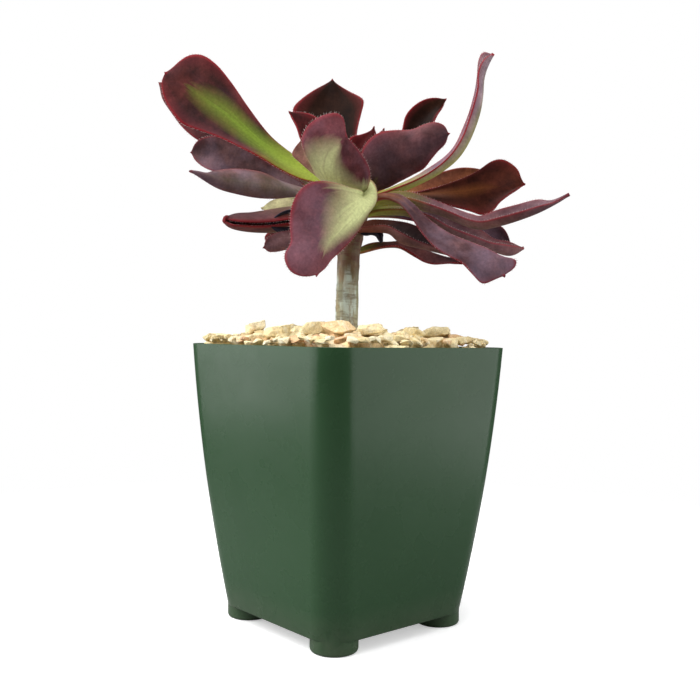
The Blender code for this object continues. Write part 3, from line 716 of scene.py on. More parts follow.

# blade and deep are the two blade colours. green shows along the middle, stripe strong, stripe_wide across
# and up to stripe_end along, and stripe_middle is where across the leaf it runs. stalk is the stalk's colour,
# base strong and up to base_reach along. bloom is the lilac wax, partly painted sheen, and margin the red
# edge. under is the underside's colour, and under_green how green that is.
Skin = namedtuple("Skin", "blade deep green stripe stripe_wide stripe_end stalk base base_reach bloom margin "
                          "under under_green stripe_middle", defaults=(0.5,))
LIME = (0.22, 0.33, 0.045)
PALE_GREEN = (0.56, 0.59, 0.28)
STRAW_GREEN = (0.30, 0.30, 0.060)
RUST = (0.34, 0.13, 0.05)
SKINS = {
    "burgundy": Skin((0.150, 0.052, 0.050), (0.085, 0.026, 0.024), LIME, 0.15, 0.5, 0.4, STRAW_GREEN, 0.5,
                     0.25, 0.15, 0.6, (0.15, 0.050, 0.048), 0.15),
    "striped": Skin((0.095, 0.022, 0.019), (0.045, 0.011, 0.009), (0.165, 0.24, 0.028), 1.0, 1.05, 0.90,
                    (0.30, 0.36, 0.045), 0.8, 0.45, 0.10, 0.9, (0.15, 0.05, 0.045), 0.3),
    # dusty: strong lilac wax, partly painted sheen on the two left leaves
    "dusty_sheen": Skin((0.190, 0.092, 0.086), (0.080, 0.030, 0.026), LIME, 0.1, 0.5, 0.3, RUST, 0.1, 0.2, 0.75,
                  0.5, (0.13, 0.055, 0.050), 0.1),
    "mauve": Skin((0.175, 0.085, 0.086), (0.105, 0.045, 0.046), STRAW_GREEN, 0.6, 0.8, 0.4, STRAW_GREEN,
                  0.7, 0.34, 0.35, 0.5, (0.19, 0.085, 0.080), 0.1),
    "front": Skin((0.190, 0.060, 0.068), (0.130, 0.034, 0.036), PALE_GREEN, 1.0, 1.15, 0.86, PALE_GREEN,
                  0.9, 0.35, 0.35, 0.6, (0.24, 0.14, 0.10), 0.5, 0.36),
    "upright": Skin((0.165, 0.048, 0.056), (0.100, 0.024, 0.024), PALE_GREEN, 1.0, 1.1, 0.90, PALE_GREEN,
                    0.95, 0.42, 0.45, 0.5, (0.17, 0.06, 0.06), 0.3, 0.42),
    "tender": Skin((0.34, 0.17, 0.13), (0.24, 0.10, 0.08), PALE_GREEN, 0.9, 1.0, 0.9, PALE_GREEN, 0.9,
                   0.6, 0.2, 0.3, (0.27, 0.15, 0.11), 0.3),
    "ruby": Skin((0.085, 0.012, 0.013), (0.050, 0.007, 0.007), LIME, 0.0, 0.5, 0.3, LIME, 0.2, 0.2, 0.0,
                 0.9, (0.12, 0.022, 0.022), 0.0),
    "plum": Skin((0.105, 0.040, 0.042), (0.065, 0.022, 0.020), STRAW_GREEN, 0.2, 0.5, 0.2, STRAW_GREEN,
                 0.3, 0.14, 0.22, 0.8, (0.10, 0.035, 0.033), 0.1),
    # dark: the leaves' own near-black burgundy, darkened further as painted shade on the far upright leaves
    "dark": Skin((0.024, 0.0085, 0.0045), (0.017, 0.0055, 0.0030), LIME, 0.04, 0.9, 0.6, LIME, 0.2, 0.3,
                 0.0, 0.7, (0.038, 0.013, 0.008), 0.0),
    "tan": Skin((0.36, 0.125, 0.055), (0.24, 0.075, 0.036), RUST, 0.6, 0.8, 0.5, (0.42, 0.20, 0.08), 0.9,
                0.45, 0.05, 0.4, (0.33, 0.11, 0.05), 0.1),
    "brown": Skin((0.075, 0.017, 0.009), (0.045, 0.011, 0.007), (0.20, 0.062, 0.017), 0.7, 0.8, 0.85,
                  STRAW_GREEN, 0.7, 0.25, 0.02, 0.5, (0.15, 0.04, 0.02), 0.1),
    "dusk": Skin((0.115, 0.048, 0.046), (0.065, 0.025, 0.025), RUST, 0.25, 0.5, 0.4, RUST, 0.5, 0.3, 0.75,
                 0.6, (0.15, 0.065, 0.06), 0.1),
    "dusky": Skin((0.050, 0.028, 0.024), (0.028, 0.015, 0.013), RUST, 0.1, 0.5, 0.3, (0.15, 0.05, 0.035),
                  0.9, 0.4, 0.15, 0.2, (0.16, 0.075, 0.07), 0.1),
    "arching": Skin((0.22, 0.13, 0.14), (0.12, 0.065, 0.070), STRAW_GREEN, 0.5, 0.8, 0.7, STRAW_GREEN,
                    0.7, 0.35, 0.85, 0.9, (0.40, 0.28, 0.31), 0.9),
    "purple": Skin((0.105, 0.042, 0.050), (0.056, 0.021, 0.026), LIME, 0.1, 0.5, 0.4, STRAW_GREEN, 0.4,
                   0.25, 0.45, 0.5, (0.13, 0.055, 0.06), 0.1),
    "withered": Skin((0.022, 0.022, 0.034), (0.012, 0.012, 0.018), LIME, 0.0, 0.5, 0.3, RUST, 0.0, 0.2,
                     0.15, 0.0, (0.02, 0.02, 0.03), 0.0),
    "pale": Skin((0.50, 0.46, 0.25), (0.38, 0.34, 0.18), PALE_GREEN, 0.1, 0.5, 0.3, PALE_GREEN, 0.5, 0.4,
                 0.0, 0.1, (0.50, 0.46, 0.28), 0.2),
}


def smooth_run(points, count):
    """Evenly spaced points on a centripetal Catmull-Rom curve through the given ones."""
    points = np.asarray(points, float)
    spans = np.linalg.norm(np.diff(points, axis=0), axis=1) ** 0.5
    knots = np.concatenate(([0.0], np.cumsum(spans)))
    ends = (2 * points[0] - points[1], 2 * points[-1] - points[-2])
    points = np.vstack((ends[0], points, ends[1]))
    knots = np.concatenate(([-spans[0]], knots, [knots[-1] + spans[-1]]))
    fine = []
    for t in np.linspace(0.0, knots[-2], count * 8):
        i = int(np.clip(np.searchsorted(knots, t, side="right") - 1, 1, len(points) - 3))
        t0, t1, t2, t3 = knots[i - 1:i + 3]
        p0, p1, p2, p3 = points[i - 1:i + 3]
        a1 = ((t1 - t) * p0 + (t - t0) * p1) / (t1 - t0)
        a2 = ((t2 - t) * p1 + (t - t1) * p2) / (t2 - t1)
        a3 = ((t3 - t) * p2 + (t - t2) * p3) / (t3 - t2)
        b1 = ((t2 - t) * a1 + (t - t0) * a2) / (t2 - t0)
        b2 = ((t3 - t) * a2 + (t - t1) * a3) / (t3 - t1)
        fine.append(((t2 - t) * b1 + (t - t1) * b2) / (t2 - t1))
    fine = np.array(fine)
    run = np.concatenate(([0.0], np.cumsum(np.linalg.norm(np.diff(fine, axis=0), axis=1))))
    even = np.linspace(0.0, run[-1], count)
    return np.stack([np.interp(even, run, fine[:, axis]) for axis in range(3)], axis=1)


def ease(x):
    x = np.clip(x, 0.0, 1.0)
    return x * x * (3.0 - 2.0 * x)


def read_along(values, t):
    """Values read evenly from base to tip."""
    if len(values) == 1:
        return values[0] + 0 * t
    return np.interp(t, np.linspace(0.0, 1.0, len(values)), values)


def paddle(node, skin, bearing, height, rib, width, stalk, broad, blunt, twist, fold):
    """A leaf drawn from its midrib: where it leaves the stem, how wide it is and how it turns and folds."""
    t = np.linspace(0.0, 1.0, 15)
    centre, radius = stem_at(np.float64(height))
    bearing = math.radians(bearing)
    base = centre + (radius - 1.5) * np.array([math.cos(bearing), math.sin(bearing), 0.0])
    midrib = smooth_run([base, *rib], len(t))
    forward = np.gradient(midrib, axis=0)
    forward /= np.linalg.norm(forward, axis=1)[:, None]
    reach = midrib[-1] - midrib[0]
    swing = (math.atan2(reach[1], reach[0]) - bearing + math.pi) % (2 * math.pi) - math.pi
    heading = bearing + swing * ease(2.0 * t)
    side = np.stack((np.sin(heading), -np.cos(heading), 0.0 * t), axis=1)
    side -= np.sum(side * forward, axis=1)[:, None] * forward
    side /= np.linalg.norm(side, axis=1)[:, None]
    up = np.cross(side, forward)
    turn = np.radians(read_along(twist, t))[:, None]
    side, up = side * np.cos(turn) + up * np.sin(turn), up * np.cos(turn) - side * np.sin(turn)
    widening = stalk + (width - stalk) * ease(t / broad)
    end = np.clip((t - broad) / (1.0 - broad), 0.0, 1.0)
    rounding = width * (1.0 - end ** blunt) ** (1.0 / min(blunt, 2.5))
    half = 0.5 * np.where(t < broad, widening, rounding)
    bend = np.radians(read_along(fold, t))
    out, lift = half * np.sin(bend) / bend, half * (1.0 - np.cos(bend)) / bend
    left = midrib - side * out[:, None] + up * lift[:, None]
    right = midrib + side * out[:, None] + up * lift[:, None]
    left[-1] = right[-1] = midrib[-1]
    return Leaf(node, skin, left, midrib, right)


LEAVES = (
    # left side, upper to lower, then the front, the heart and the right side, each drawn by its left margin,
    # midrib and right margin, from the stalk to the tip
    Leaf("leaf_upper_left", "striped",
         ((0.5, 0, 160), (-12, 3, 166.5), (-19, 4, 168.5), (-26.5, 4.5, 172), (-34.5, 5, 176.5),
          (-42.5, 6, 180.5), (-50.5, 7.5, 184.5), (-58.5, 9.5, 187.5), (-66, 11.5, 190.5), (-70, 13, 195),
          (-73, 14.5, 199.5), (-75, 15.5, 205), (-75, 16, 209), (-73.5, 16, 211.5)),
         ((0.5, 1, 161.5), (-12, 6, 169.5), (-23, 8, 175), (-37, 9.5, 184.5), (-49, 11.5, 195),
          (-61.5, 14, 203.5), (-68.5, 15.5, 208.5), (-73.5, 16, 211.5)),
         ((0.5, 2, 163), (-12.5, 7.5, 172.5), (-19, 9, 177), (-24, 10, 180.5), (-31, 11, 186.5),
          (-39.5, 12.5, 197), (-47.5, 14, 208.5), (-53.5, 15, 215.5), (-59, 15.5, 219), (-64, 16, 219),
          (-68, 16, 216.5), (-71, 16, 213.5), (-73.5, 16, 211.5))),
    Leaf("leaf_upper_left_rear", "burgundy",
         ((0, 3, 160), (-19, 11, 167.5), (-35, 20, 174.5), (-51, 26, 182), (-63, 29, 188),
          (-69.5, 31, 193.5), (-74.5, 32, 200), (-78.5, 33, 206), (-79.5, 33, 212)),
         ((0, 4, 160.5), (-19.5, 14, 170.5), (-35.5, 22, 179.5), (-51, 28, 190), (-64, 31, 199.5),
          (-74, 33, 207), (-79.5, 33, 212)),
         ((0, 4.5, 161.5), (-19.5, 15, 172), (-35.5, 23, 183.5), (-51.5, 29, 196.5), (-64.5, 32, 207.5),
          (-73, 33, 213.5), (-79.5, 33, 212))),
    Leaf("leaf_left", "dusty_sheen",
         ((0, 5, 158.5), (-19, 11, 163), (-35.5, 16, 167), (-48, 19.5, 171), (-55.5, 22, 174),
          (-59.5, 24, 176), (-63, 25.5, 179), (-65, 28, 182.5)),
         ((0, 6, 159.5), (-19, 12, 166), (-35.5, 17.5, 172.5), (-50.5, 23, 180), (-65, 28, 182.5)),
         ((0, 6.5, 160.5), (-19, 11, 168.5), (-31.5, 15, 176), (-39.5, 17.5, 181), (-46, 20, 185),
          (-52.5, 22, 188), (-57, 24, 188.5), (-61.5, 26, 187.5), (-64, 27, 185), (-65, 28, 182.5))),
    Leaf("leaf_left_pointed", "dusty_sheen",
         ((-1.5, -2, 159), (-18, -8, 163), (-25, -12, 164.5), (-31.5, -16, 167), (-37.5, -19, 167.5),
          (-43, -22, 167), (-48, -25, 165.5), (-51, -27, 164), (-55, -30, 164.5)),
         ((-1.5, -3, 157.5), (-18, -11, 160.5), (-31.5, -20, 161.5), (-43.5, -26, 162), (-55, -30, 164.5)),
         ((-1.5, -4, 156.5), (-18, -11, 159), (-26.5, -16, 157.5), (-33.5, -19, 157.5), (-40.5, -22, 158.5),
          (-45.5, -25, 159.5), (-50, -28, 161.5), (-55, -30, 164.5))),
    Leaf("leaf_left_low", "mauve",
         ((-1, -3, 146), (-14, -10, 141), (-22, -13, 139.5), (-26, -14, 138.5), (-29, -15, 138.5),
          (-30.5, -15, 140)),
         ((-1, -2, 147.5), (-14, -9.5, 144), (-23, -13.5, 142.5), (-30.5, -15, 140)),
         ((-1, -2, 148.5), (-14, -8, 147.5), (-23, -12, 146.5), (-27.5, -14, 145), (-30, -15, 142.5),
          (-30.5, -15, 140))),
    Leaf("leaf_withered_left", "withered",
         ((-1.5, -3, 150), (-16, -9.5, 146), (-23, -12, 145.5), (-26, -13, 146), (-29, -14, 148.5)),
         ((-1.5, -2.5, 151), (-16, -8, 150.5), (-23.5, -10.5, 150.5), (-29, -14, 148.5)),
         ((-1.5, -3, 152.5), (-16, -8.5, 155), (-22.5, -11.5, 154), (-26, -12.5, 152), (-29, -14, 148.5))),
    Leaf("leaf_front", "front",
         ((6, -5, 162), (7.5, -8, 166.5), (9.5, -11, 164.5), (10.5, -13, 160.5), (10, -15.5, 156.5),
          (7.5, -18, 152.5), (4.5, -22, 146.5), (1.5, -25, 142), (-2.5, -28, 137.5), (-5.5, -30, 134.5),
          (-7.5, -32, 131.5), (-10.5, -33, 129)),
         ((5.5, -6, 160.5), (5, -16, 157.5), (-0.5, -24, 152), (-6, -29, 145), (-10, -32, 138),
          (-10.5, -33, 129)),
         ((5, -6, 160), (5, -13, 161.5), (0.5, -18, 162), (-5, -22, 163), (-10, -25, 163),
          (-14.5, -27, 161.5), (-18, -28, 158), (-20, -29, 153), (-20.5, -30, 146.5), (-20, -30.5, 140),
          (-22, -31, 136.5), (-21.5, -32, 133), (-19.5, -32.5, 130), (-16, -33, 128.5), (-13, -33, 128.5),
          (-10.5, -33, 129))),
    Leaf("leaf_front_upright", "upright",
         ((0.5, -5, 159), (-11.5, -10, 166.5), (-14.5, -13, 171.5), (-17, -15, 176.5),
          (-17.5, -16.5, 179.5), (-15.5, -18, 183.5), (-12.5, -19, 186), (-9, -20, 187.5), (-5, -21, 188),
          (-2.5, -21.5, 186.5), (-1.5, -22, 183), (-1, -22.5, 179)),
         ((2, -6, 160), (-4.5, -15, 165), (-5, -19, 170.5), (-3, -21.5, 175), (-1, -22.5, 179)),
         ((3.5, -5, 160), (6, -9, 161), (8, -13, 165.5), (7.5, -15.5, 169.5), (4.5, -18.5, 174),
          (1.5, -21, 177), (-1, -22.5, 179))),
    Leaf("leaf_inner_left", "ruby",
         ((0.5, 3, 165), (-12, 8, 174.5), (-17, 10, 180), (-19.5, 12, 185.5), (-21, 13.5, 190.5),
          (-24, 15, 196.5)),
         ((1, 3.5, 165.5), (-9.5, 10, 179), (-16.5, 13, 188.5), (-24, 15, 196.5)),
         ((2, 3.5, 166), (-1.5, 8, 180.5), (-7, 11, 189), (-11.5, 12, 193), (-15.5, 13, 195.5),
          (-20, 14.5, 196.5), (-24, 15, 196.5))),
    Leaf("leaf_inner_left_small", "tender",
         ((-1, -2, 161.5), (-11.5, -4, 167.5), (-18.5, -4.5, 173), (-21.5, -4.5, 176), (-20.5, -4.5, 178.5),
          (-18, -4.5, 181.5)),
         ((0, -2, 162), (-9, -4, 169.5), (-15, -4.5, 176), (-18, -4.5, 181.5)),
         ((0.5, -1.5, 162.5), (-5.5, -3, 172), (-11, -4, 178), (-15, -4.5, 180.5), (-18, -4.5, 181.5))),
    Leaf("leaf_heart_rear", "ruby",
         ((2.5, 4.5, 165.5), (-1.5, 8, 176.5), (0, 10, 185.5), (5, 11.5, 187.5), (8, 12.5, 189),
          (9.5, 13, 190.5)),
         ((3, 5, 166), (5, 9.5, 177), (9.5, 13, 190.5)),
         ((4, 5, 166), (8, 8, 176.5), (11, 11, 184.5), (10.5, 12.5, 188), (9.5, 13, 190.5))),
    Leaf("leaf_heart_right", "ruby",
         ((4.5, 4.5, 166.5), (7, 10, 177), (11, 14.5, 188), (13.5, 16, 190.5)),
         ((5, 5, 167), (9.5, 11.5, 177.5), (13.5, 16, 190.5)),
         ((6, 5, 167), (12.5, 11, 177.5), (16, 14.5, 185.5), (13.5, 16, 190.5))),
    Leaf("leaf_rear_upright", "dark",
         ((2, 5.5, 164.5), (-10.5, 12, 178), (-20, 17, 189.5), (-23, 20, 197), (-23, 21, 200),
          (-20.5, 23, 203.5), (-14.5, 25.5, 208.5), (-10.5, 27, 211), (-7.5, 28, 213)),
         ((3, 6.5, 165), (-2.5, 15.5, 180), (-6.5, 23, 197.5), (-7.5, 28, 213)),
         ((3.5, 6, 164.5), (2, 12, 179.5), (3, 17, 191), (4.5, 20, 197.5), (5.5, 22, 203), (4, 23.5, 205),
          (0, 25.5, 207.5), (-4.5, 27, 210.5), (-7.5, 28, 213))),
    Leaf("leaf_right_broad", "plum",
         ((6.5, -4, 163), (5.5, -7, 171), (4.5, -9, 176.5), (7, -11, 180.5), (11, -13, 183),
          (16.5, -15, 183.5), (22.5, -16, 183.5), (27, -18, 185), (31, -19.5, 185.5), (34, -20.5, 184),
          (35.5, -21, 181)),
         ((7.5, -4.5, 162.5), (12.5, -11, 168.5), (20.5, -16, 174), (28, -20, 179), (35.5, -21, 181)),
         ((8, -4, 162), (14.5, -7, 163.5), (19, -10, 165.5), (23.5, -13, 167.5), (27.5, -15, 169.5),
          (29.5, -17, 172), (32, -18.5, 175), (34.5, -20.5, 177.5), (35.5, -21, 181))),
    Leaf("leaf_right_rear_small", "dark",
         ((6.5, 5, 165.5), (17, 13, 178), (21, 19, 191), (22.5, 22, 197.5), (26, 24, 202),
          (30.5, 25.5, 205), (35, 26.5, 206), (39, 27, 205.5)),
         ((7.5, 6, 166.5), (19.5, 15, 178), (27.5, 22, 192.5), (33.5, 26, 201), (39, 27, 205.5)),
         ((8, 5, 165.5), (21.5, 14, 177), (32.5, 20, 192), (35.5, 23.5, 198.5), (38, 26, 202.5),
          (39, 27, 205.5))),
    Leaf("leaf_arching", "arching",
         ((6.5, 1, 161), (17, 4, 166), (25, 6, 170), (30.5, 7, 173.5), (36.5, 8, 178), (40.5, 8.5, 182.5),
          (43.5, 8.5, 188.5), (46, 8.5, 195), (47.5, 8.5, 201), (48.5, 8.5, 206), (49, 8, 210.5),
          (49.5, 7.5, 216), (51, 7, 219), (54.5, 5.5, 217.5)),
         ((6.5, -1, 160), (17.5, 0, 163.5), (25, 1, 167), (31, 2, 170), (36.5, 2.5, 173.5), (41, 3, 177.5),
          (44.5, 3, 183), (47, 3.5, 189), (49, 4, 195.5), (50, 4, 202.5), (50.5, 4.5, 208), (52, 5, 213),
          (54.5, 5.5, 217.5)),
         ((6.5, -3, 160), (16.5, -3, 164), (25, -3, 167.5), (30.5, -2.5, 170.5), (36, -2, 174.5),
          (40, -1.5, 179), (43, -1, 184.5), (45, -0.5, 190.5), (47, 0, 197.5), (48.5, 1, 204),
          (48.5, 2, 208.5), (50, 3, 213.5), (52.5, 4.5, 216.5), (54.5, 5.5, 217.5))),
    Leaf("leaf_right_tan", "tan",
         ((6.5, 3, 162), (20, 10, 166.5), (28, 14, 171), (36.5, 18, 174), (44, 21, 176.5), (49.5, 23, 177),
          (54, 24.5, 176.5), (56, 25, 174.5)),
         ((6.5, 4, 162), (20, 11, 165.5), (36.5, 19, 171), (49, 24, 174.5), (56, 25, 174.5)),
         ((6.5, 3, 161.5), (20, 10, 164), (32, 15, 165.5), (42.5, 19, 168), (51, 23, 171.5),
          (56, 25, 174.5))),
    Leaf("leaf_right_brown", "brown",
         ((6.5, 1, 160.5), (18, 4, 163), (24.5, 7, 164), (31.5, 9, 166), (40, 12, 169), (48, 14, 172.5),
          (52.5, 15, 175.5), (56.5, 15.5, 178.5), (60.5, 15.5, 179.5), (64, 15, 178), (67, 14, 175),
          (68, 13, 171.5), (69, 12.5, 169)),
         ((6.5, 1, 160), (20, 5, 162.5), (31.5, 8.5, 163.5), (43.5, 11, 165), (55.5, 13, 167.5),
          (69, 12.5, 169)),
         ((6.5, 0, 159.5), (19.5, 2, 161), (29.5, 4, 161.5), (39, 5.5, 159), (47, 6.5, 157),
          (53, 7.5, 155.5), (56.5, 8.5, 157.5), (59, 9.5, 161), (62.5, 10.5, 164), (66, 11.5, 166.5),
          (69, 12.5, 169))),
    Leaf("leaf_far_right", "mauve",
         ((5.5, -2, 158.5), (12, -3, 161.5), (17.5, -4, 163), (24, -5, 162.5), (30.5, -6, 160),
          (38, -7, 157), (44, -8.5, 154.5), (49, -10.5, 153), (54.5, -13, 155), (61.5, -16, 157),
          (68, -19.5, 158.5), (72, -22.5, 157.5), (77, -27, 159)),
         ((5.5, -3, 157.5), (15.5, -6, 159), (26.5, -9, 156.5), (34, -10.5, 154.5), (41, -12, 151.5),
          (47.5, -14, 149), (55, -16.5, 150), (62, -19, 152), (68.5, -22, 154.5), (72.5, -24, 156.5),
          (77, -27, 159)),
         ((5.5, -5, 157.5), (14.5, -10, 160), (22.5, -13, 159), (29.5, -15, 156.5), (37, -17, 153.5),
          (43, -18.5, 151), (48, -20, 150), (54, -21.5, 151.5), (61, -23, 153.5), (68, -24.5, 155.5),
          (72.5, -25, 156.5), (77, -27, 159))),
    Leaf("leaf_right_low", "mauve",
         ((5, 4, 155), (9, 6, 158), (15.5, 8, 159), (24, 11, 159.5), (32, 12, 158), (40, 13, 156),
          (47.5, 14, 153.5), (53, 14, 151), (58, 14, 147.5), (64, 14, 146.5), (69, 13, 144)),
         ((5, 3, 154.5), (9, 4, 156), (15.5, 5.5, 156.5), (24, 7, 156), (31, 7, 153), (39.5, 7.5, 148),
          (47.5, 8.5, 145), (56.5, 10, 143), (64, 12, 141.5), (69, 13, 144)),
         ((5, 1, 154), (9, 1.5, 156), (15, 2, 157), (23.5, 3, 157), (31.5, 3, 155), (39, 2.5, 151),
          (47, 3, 148), (55, 5, 145.5), (61, 8, 145), (66, 11, 144.5), (69, 13, 144))),
    Leaf("leaf_rear_right_low", "purple",
         ((5, 5, 155.5), (20.5, 15, 159), (37, 23, 160), (52, 28, 158.5), (59, 29, 155.5), (63.5, 29, 154),
          (66, 29, 150.5), (67, 29, 147)),
         ((5, 5.5, 155), (20.5, 16, 157.5), (37, 24, 156.5), (54, 28.5, 152.5), (67, 29, 147)),
         ((5, 5, 154.5), (20.5, 15, 155), (37, 22, 152.5), (52, 27, 148), (60.5, 28.5, 146),
          (67, 29, 147))),
    Leaf("leaf_front_right", "dusk",
         ((6, -5, 159), (13.5, -9, 161), (19, -11, 160.5), (23.5, -14, 157), (29, -18, 151),
          (35.5, -21, 146), (41.5, -24, 143), (48.5, -27, 140), (55, -29, 136.5), (59, -30, 135.5),
          (58.5, -30.5, 133), (54.5, -31, 130)),
         ((6, -6, 158.5), (13.5, -11, 160), (19, -14, 158), (24, -18, 152.5), (30, -22, 145),
          (37, -25.5, 140), (44.5, -28.5, 136), (54.5, -31, 130)),
         ((6, -7, 158), (13.5, -12, 159), (18, -15, 157), (21.5, -18.5, 153), (26, -23, 146),
          (31, -26, 140), (36, -28, 136.5), (40.5, -30, 134), (44, -31, 130), (47, -32, 127),
          (50, -31.5, 128), (54.5, -31, 130))),
    Leaf("leaf_right_channelled", "dusky",
         ((3.5, -2, 150), (8, -4, 152), (12.5, -5, 152), (17, -6.5, 151.5), (22.5, -8, 150.5),
          (28, -10, 148), (33, -12, 144.5), (36.5, -14, 141), (38, -16, 138.5)),
         ((3.5, -3, 148.5), (10.5, -6, 148.5), (16, -8, 147.5), (20, -10, 144), (26.5, -12, 142),
          (33.5, -14, 140), (38, -16, 138.5)),
         ((3.5, -4, 149), (10.5, -8, 149.5), (14.5, -11, 149), (19.5, -14, 146.5), (25.5, -16, 143.5),
          (32, -17, 141), (38, -16, 138.5))),
    Leaf("leaf_lowest", "burgundy",
         ((3, 2, 141.5), (9.5, 5, 144), (15.5, 7, 145), (20.5, 8.5, 145.5), (26, 10, 144), (32, 11, 142),
          (38, 11, 140), (42.5, 10.5, 139), (44.5, 10, 137.5)),
         ((3, 1.5, 140.5), (9.5, 5, 143), (15.5, 6.5, 144), (20.5, 8, 144), (26, 9, 141.5),
          (32, 9.5, 139.5), (38, 10, 138.5), (44.5, 10, 137.5)),
         ((3, 1, 139.5), (9.5, 3, 141.5), (15.5, 4, 143), (20, 5.5, 143), (25, 6, 140.5), (29.5, 7, 137.5),
          (33.5, 8, 136.5), (38.5, 9, 137), (42, 9.5, 137.5), (44.5, 10, 137.5))),
    Leaf("leaf_left_boat", "burgundy",
         ((-1, -4, 152.5), (-16.5, -11, 150.5), (-29.5, -15, 148.2), (-37.5, -18, 147.8), (-42, -18, 148),
          (-44.5, -17, 149.5)),
         ((-1, -2, 153.5), (-16.5, -3, 151.5), (-30, -5, 150), (-39, -8, 149.5), (-44.5, -17, 149.5)),
         ((-1, -4, 153.5), (-16.5, -11, 151.3), (-29.5, -15, 148.8), (-37.5, -18, 148.4),
          (-44.5, -17, 149.5)),
         (2.8, 5.0)),
    Leaf("leaf_withered_stub", "withered",
         ((4, -5, 148.5), (7, -5.5, 147.5), (9.5, -6, 147.5), (11.5, -6.5, 146.5), (12.5, -6.5, 144)),
         ((4, -2, 148.5), (7, -3, 147.5), (9.5, -4, 147.5), (11.5, -4.5, 146.5), (12.5, -5, 144)),
         ((4, -5, 149), (7, -5.5, 148), (9.5, -6, 148), (12, -6.5, 147), (12.5, -6.5, 144)),
         (1.1, 1.1)),
    paddle("leaf_left_pale", "pale", 160, 154.5, ((-19, 6, 159), (-34, 12, 158)),
           9, 4, 0.6, 1.8, (0, 50, 60), (20,)),
    # far side
    paddle("leaf_rear_high", "striped", 126, 164, ((-8, 28, 170), (-12, 42, 180), (-14, 54, 190)),
           20, 4.5, 0.72, 2, (0,), (40, 30, 20)),
    paddle("leaf_rear_right_high", "burgundy", 80, 162.5, ((10, 21, 172), (14, 32, 184), (15, 38, 194)),
           15, 4, 0.7, 1.8, (0,), (40, 30, 20)),
    paddle("leaf_rear_right", "striped", 62, 158, ((20, 22, 161), (32, 36, 166), (40, 47, 168)),
           20, 5, 0.72, 2, (0,), (40, 30, 20)),
    paddle("leaf_rear_left", "purple", 112, 155.5, ((-14, 26, 162), (-28, 40, 168), (-36, 50, 170)),
           20, 5, 0.72, 2, (0,), (40, 30, 20)),
    paddle("leaf_rear_drooping", "purple", 92, 153, ((0, 24, 158), (-4, 42, 156), (-8, 58, 150)),
           18, 5, 0.72, 2, (0,), (40, 30, 20)),
    paddle("leaf_rear_left_low", "burgundy", 140, 150.5, ((-13, 17, 152), (-24, 26, 150), (-34, 32, 146)),
           16, 5, 0.72, 2, (0,), (40, 30, 20)),
)
leaf_runs = {leaf.node: [smooth_run(curve, RUN_STEPS) for curve in (leaf.left, leaf.rib, leaf.right)]
             for leaf in LEAVES}


def leaf_points(leaf, t, across):
    """Points of the leaf's skin at shares along it and across it, from -1 on the left to 1 on the right."""
    steps = np.linspace(0.0, 1.0, RUN_STEPS)
    left, rib, right = leaf_runs[leaf.node]
    length = np.sum(np.linalg.norm(np.diff(rib, axis=0), axis=1))

    def read(rows):
        return np.stack([np.interp(t, steps, rows[:, axis]) for axis in range(3)], axis=-1)

    a, m, b = read(left), read(rib), read(right)
    ahead = rib[-1] - rib[-8]
    ahead /= np.linalg.norm(ahead)
    side = read(right - left)
    wide = np.linalg.norm(side, axis=1)
    whole = right[RUN_STEPS // 2] - left[RUN_STEPS // 2]
    whole /= np.linalg.norm(whole)
    side = np.where(wide[:, None] > 0.3, side / np.maximum(wide, 1e-6)[:, None], whole)
    along = np.clip(t, 0.02, 0.98)
    # the two ends of a blade are never thinner than the flesh of its point
    pinch = np.clip(t - 1.0, 0.0, None) * length
    least = np.where(t > 1.0, np.maximum(END_HALF - END_TAPER * pinch, END_LEAST), END_HALF)
    short = np.clip(least - wide / 2, 0.0, None)
    a, b = a - side * short[:, None], b + side * short[:, None]
    across = across[:, None]
    points = m + across * (b - a) / 2 + across ** 2 * ((a + b) / 2 - m)
    bulge = 4 * np.abs(across) * (1 - np.abs(across)) * np.sin(np.pi * along)[:, None] ** 0.5
    points += side * bulge * np.where(across < 0, -leaf.belly[0], leaf.belly[1])
    points += ahead * pinch[:, None]
    seed = sum(ord(letter) for letter in leaf.node)
    over = np.cross(side, ahead)
    wave = np.array([noise.noise(Vector((3.4 * s * length / 80 + seed, 1.3 * u, seed % 7)))
                     for s, u in zip(t, across[:, 0])])
    calm = ease(t * 2.5) * (0.3 + 0.7 * np.abs(across[:, 0])) * np.minimum(wide / 12.0, 1.0)
    return points + over * (WAVE * wave * calm)[:, None], length


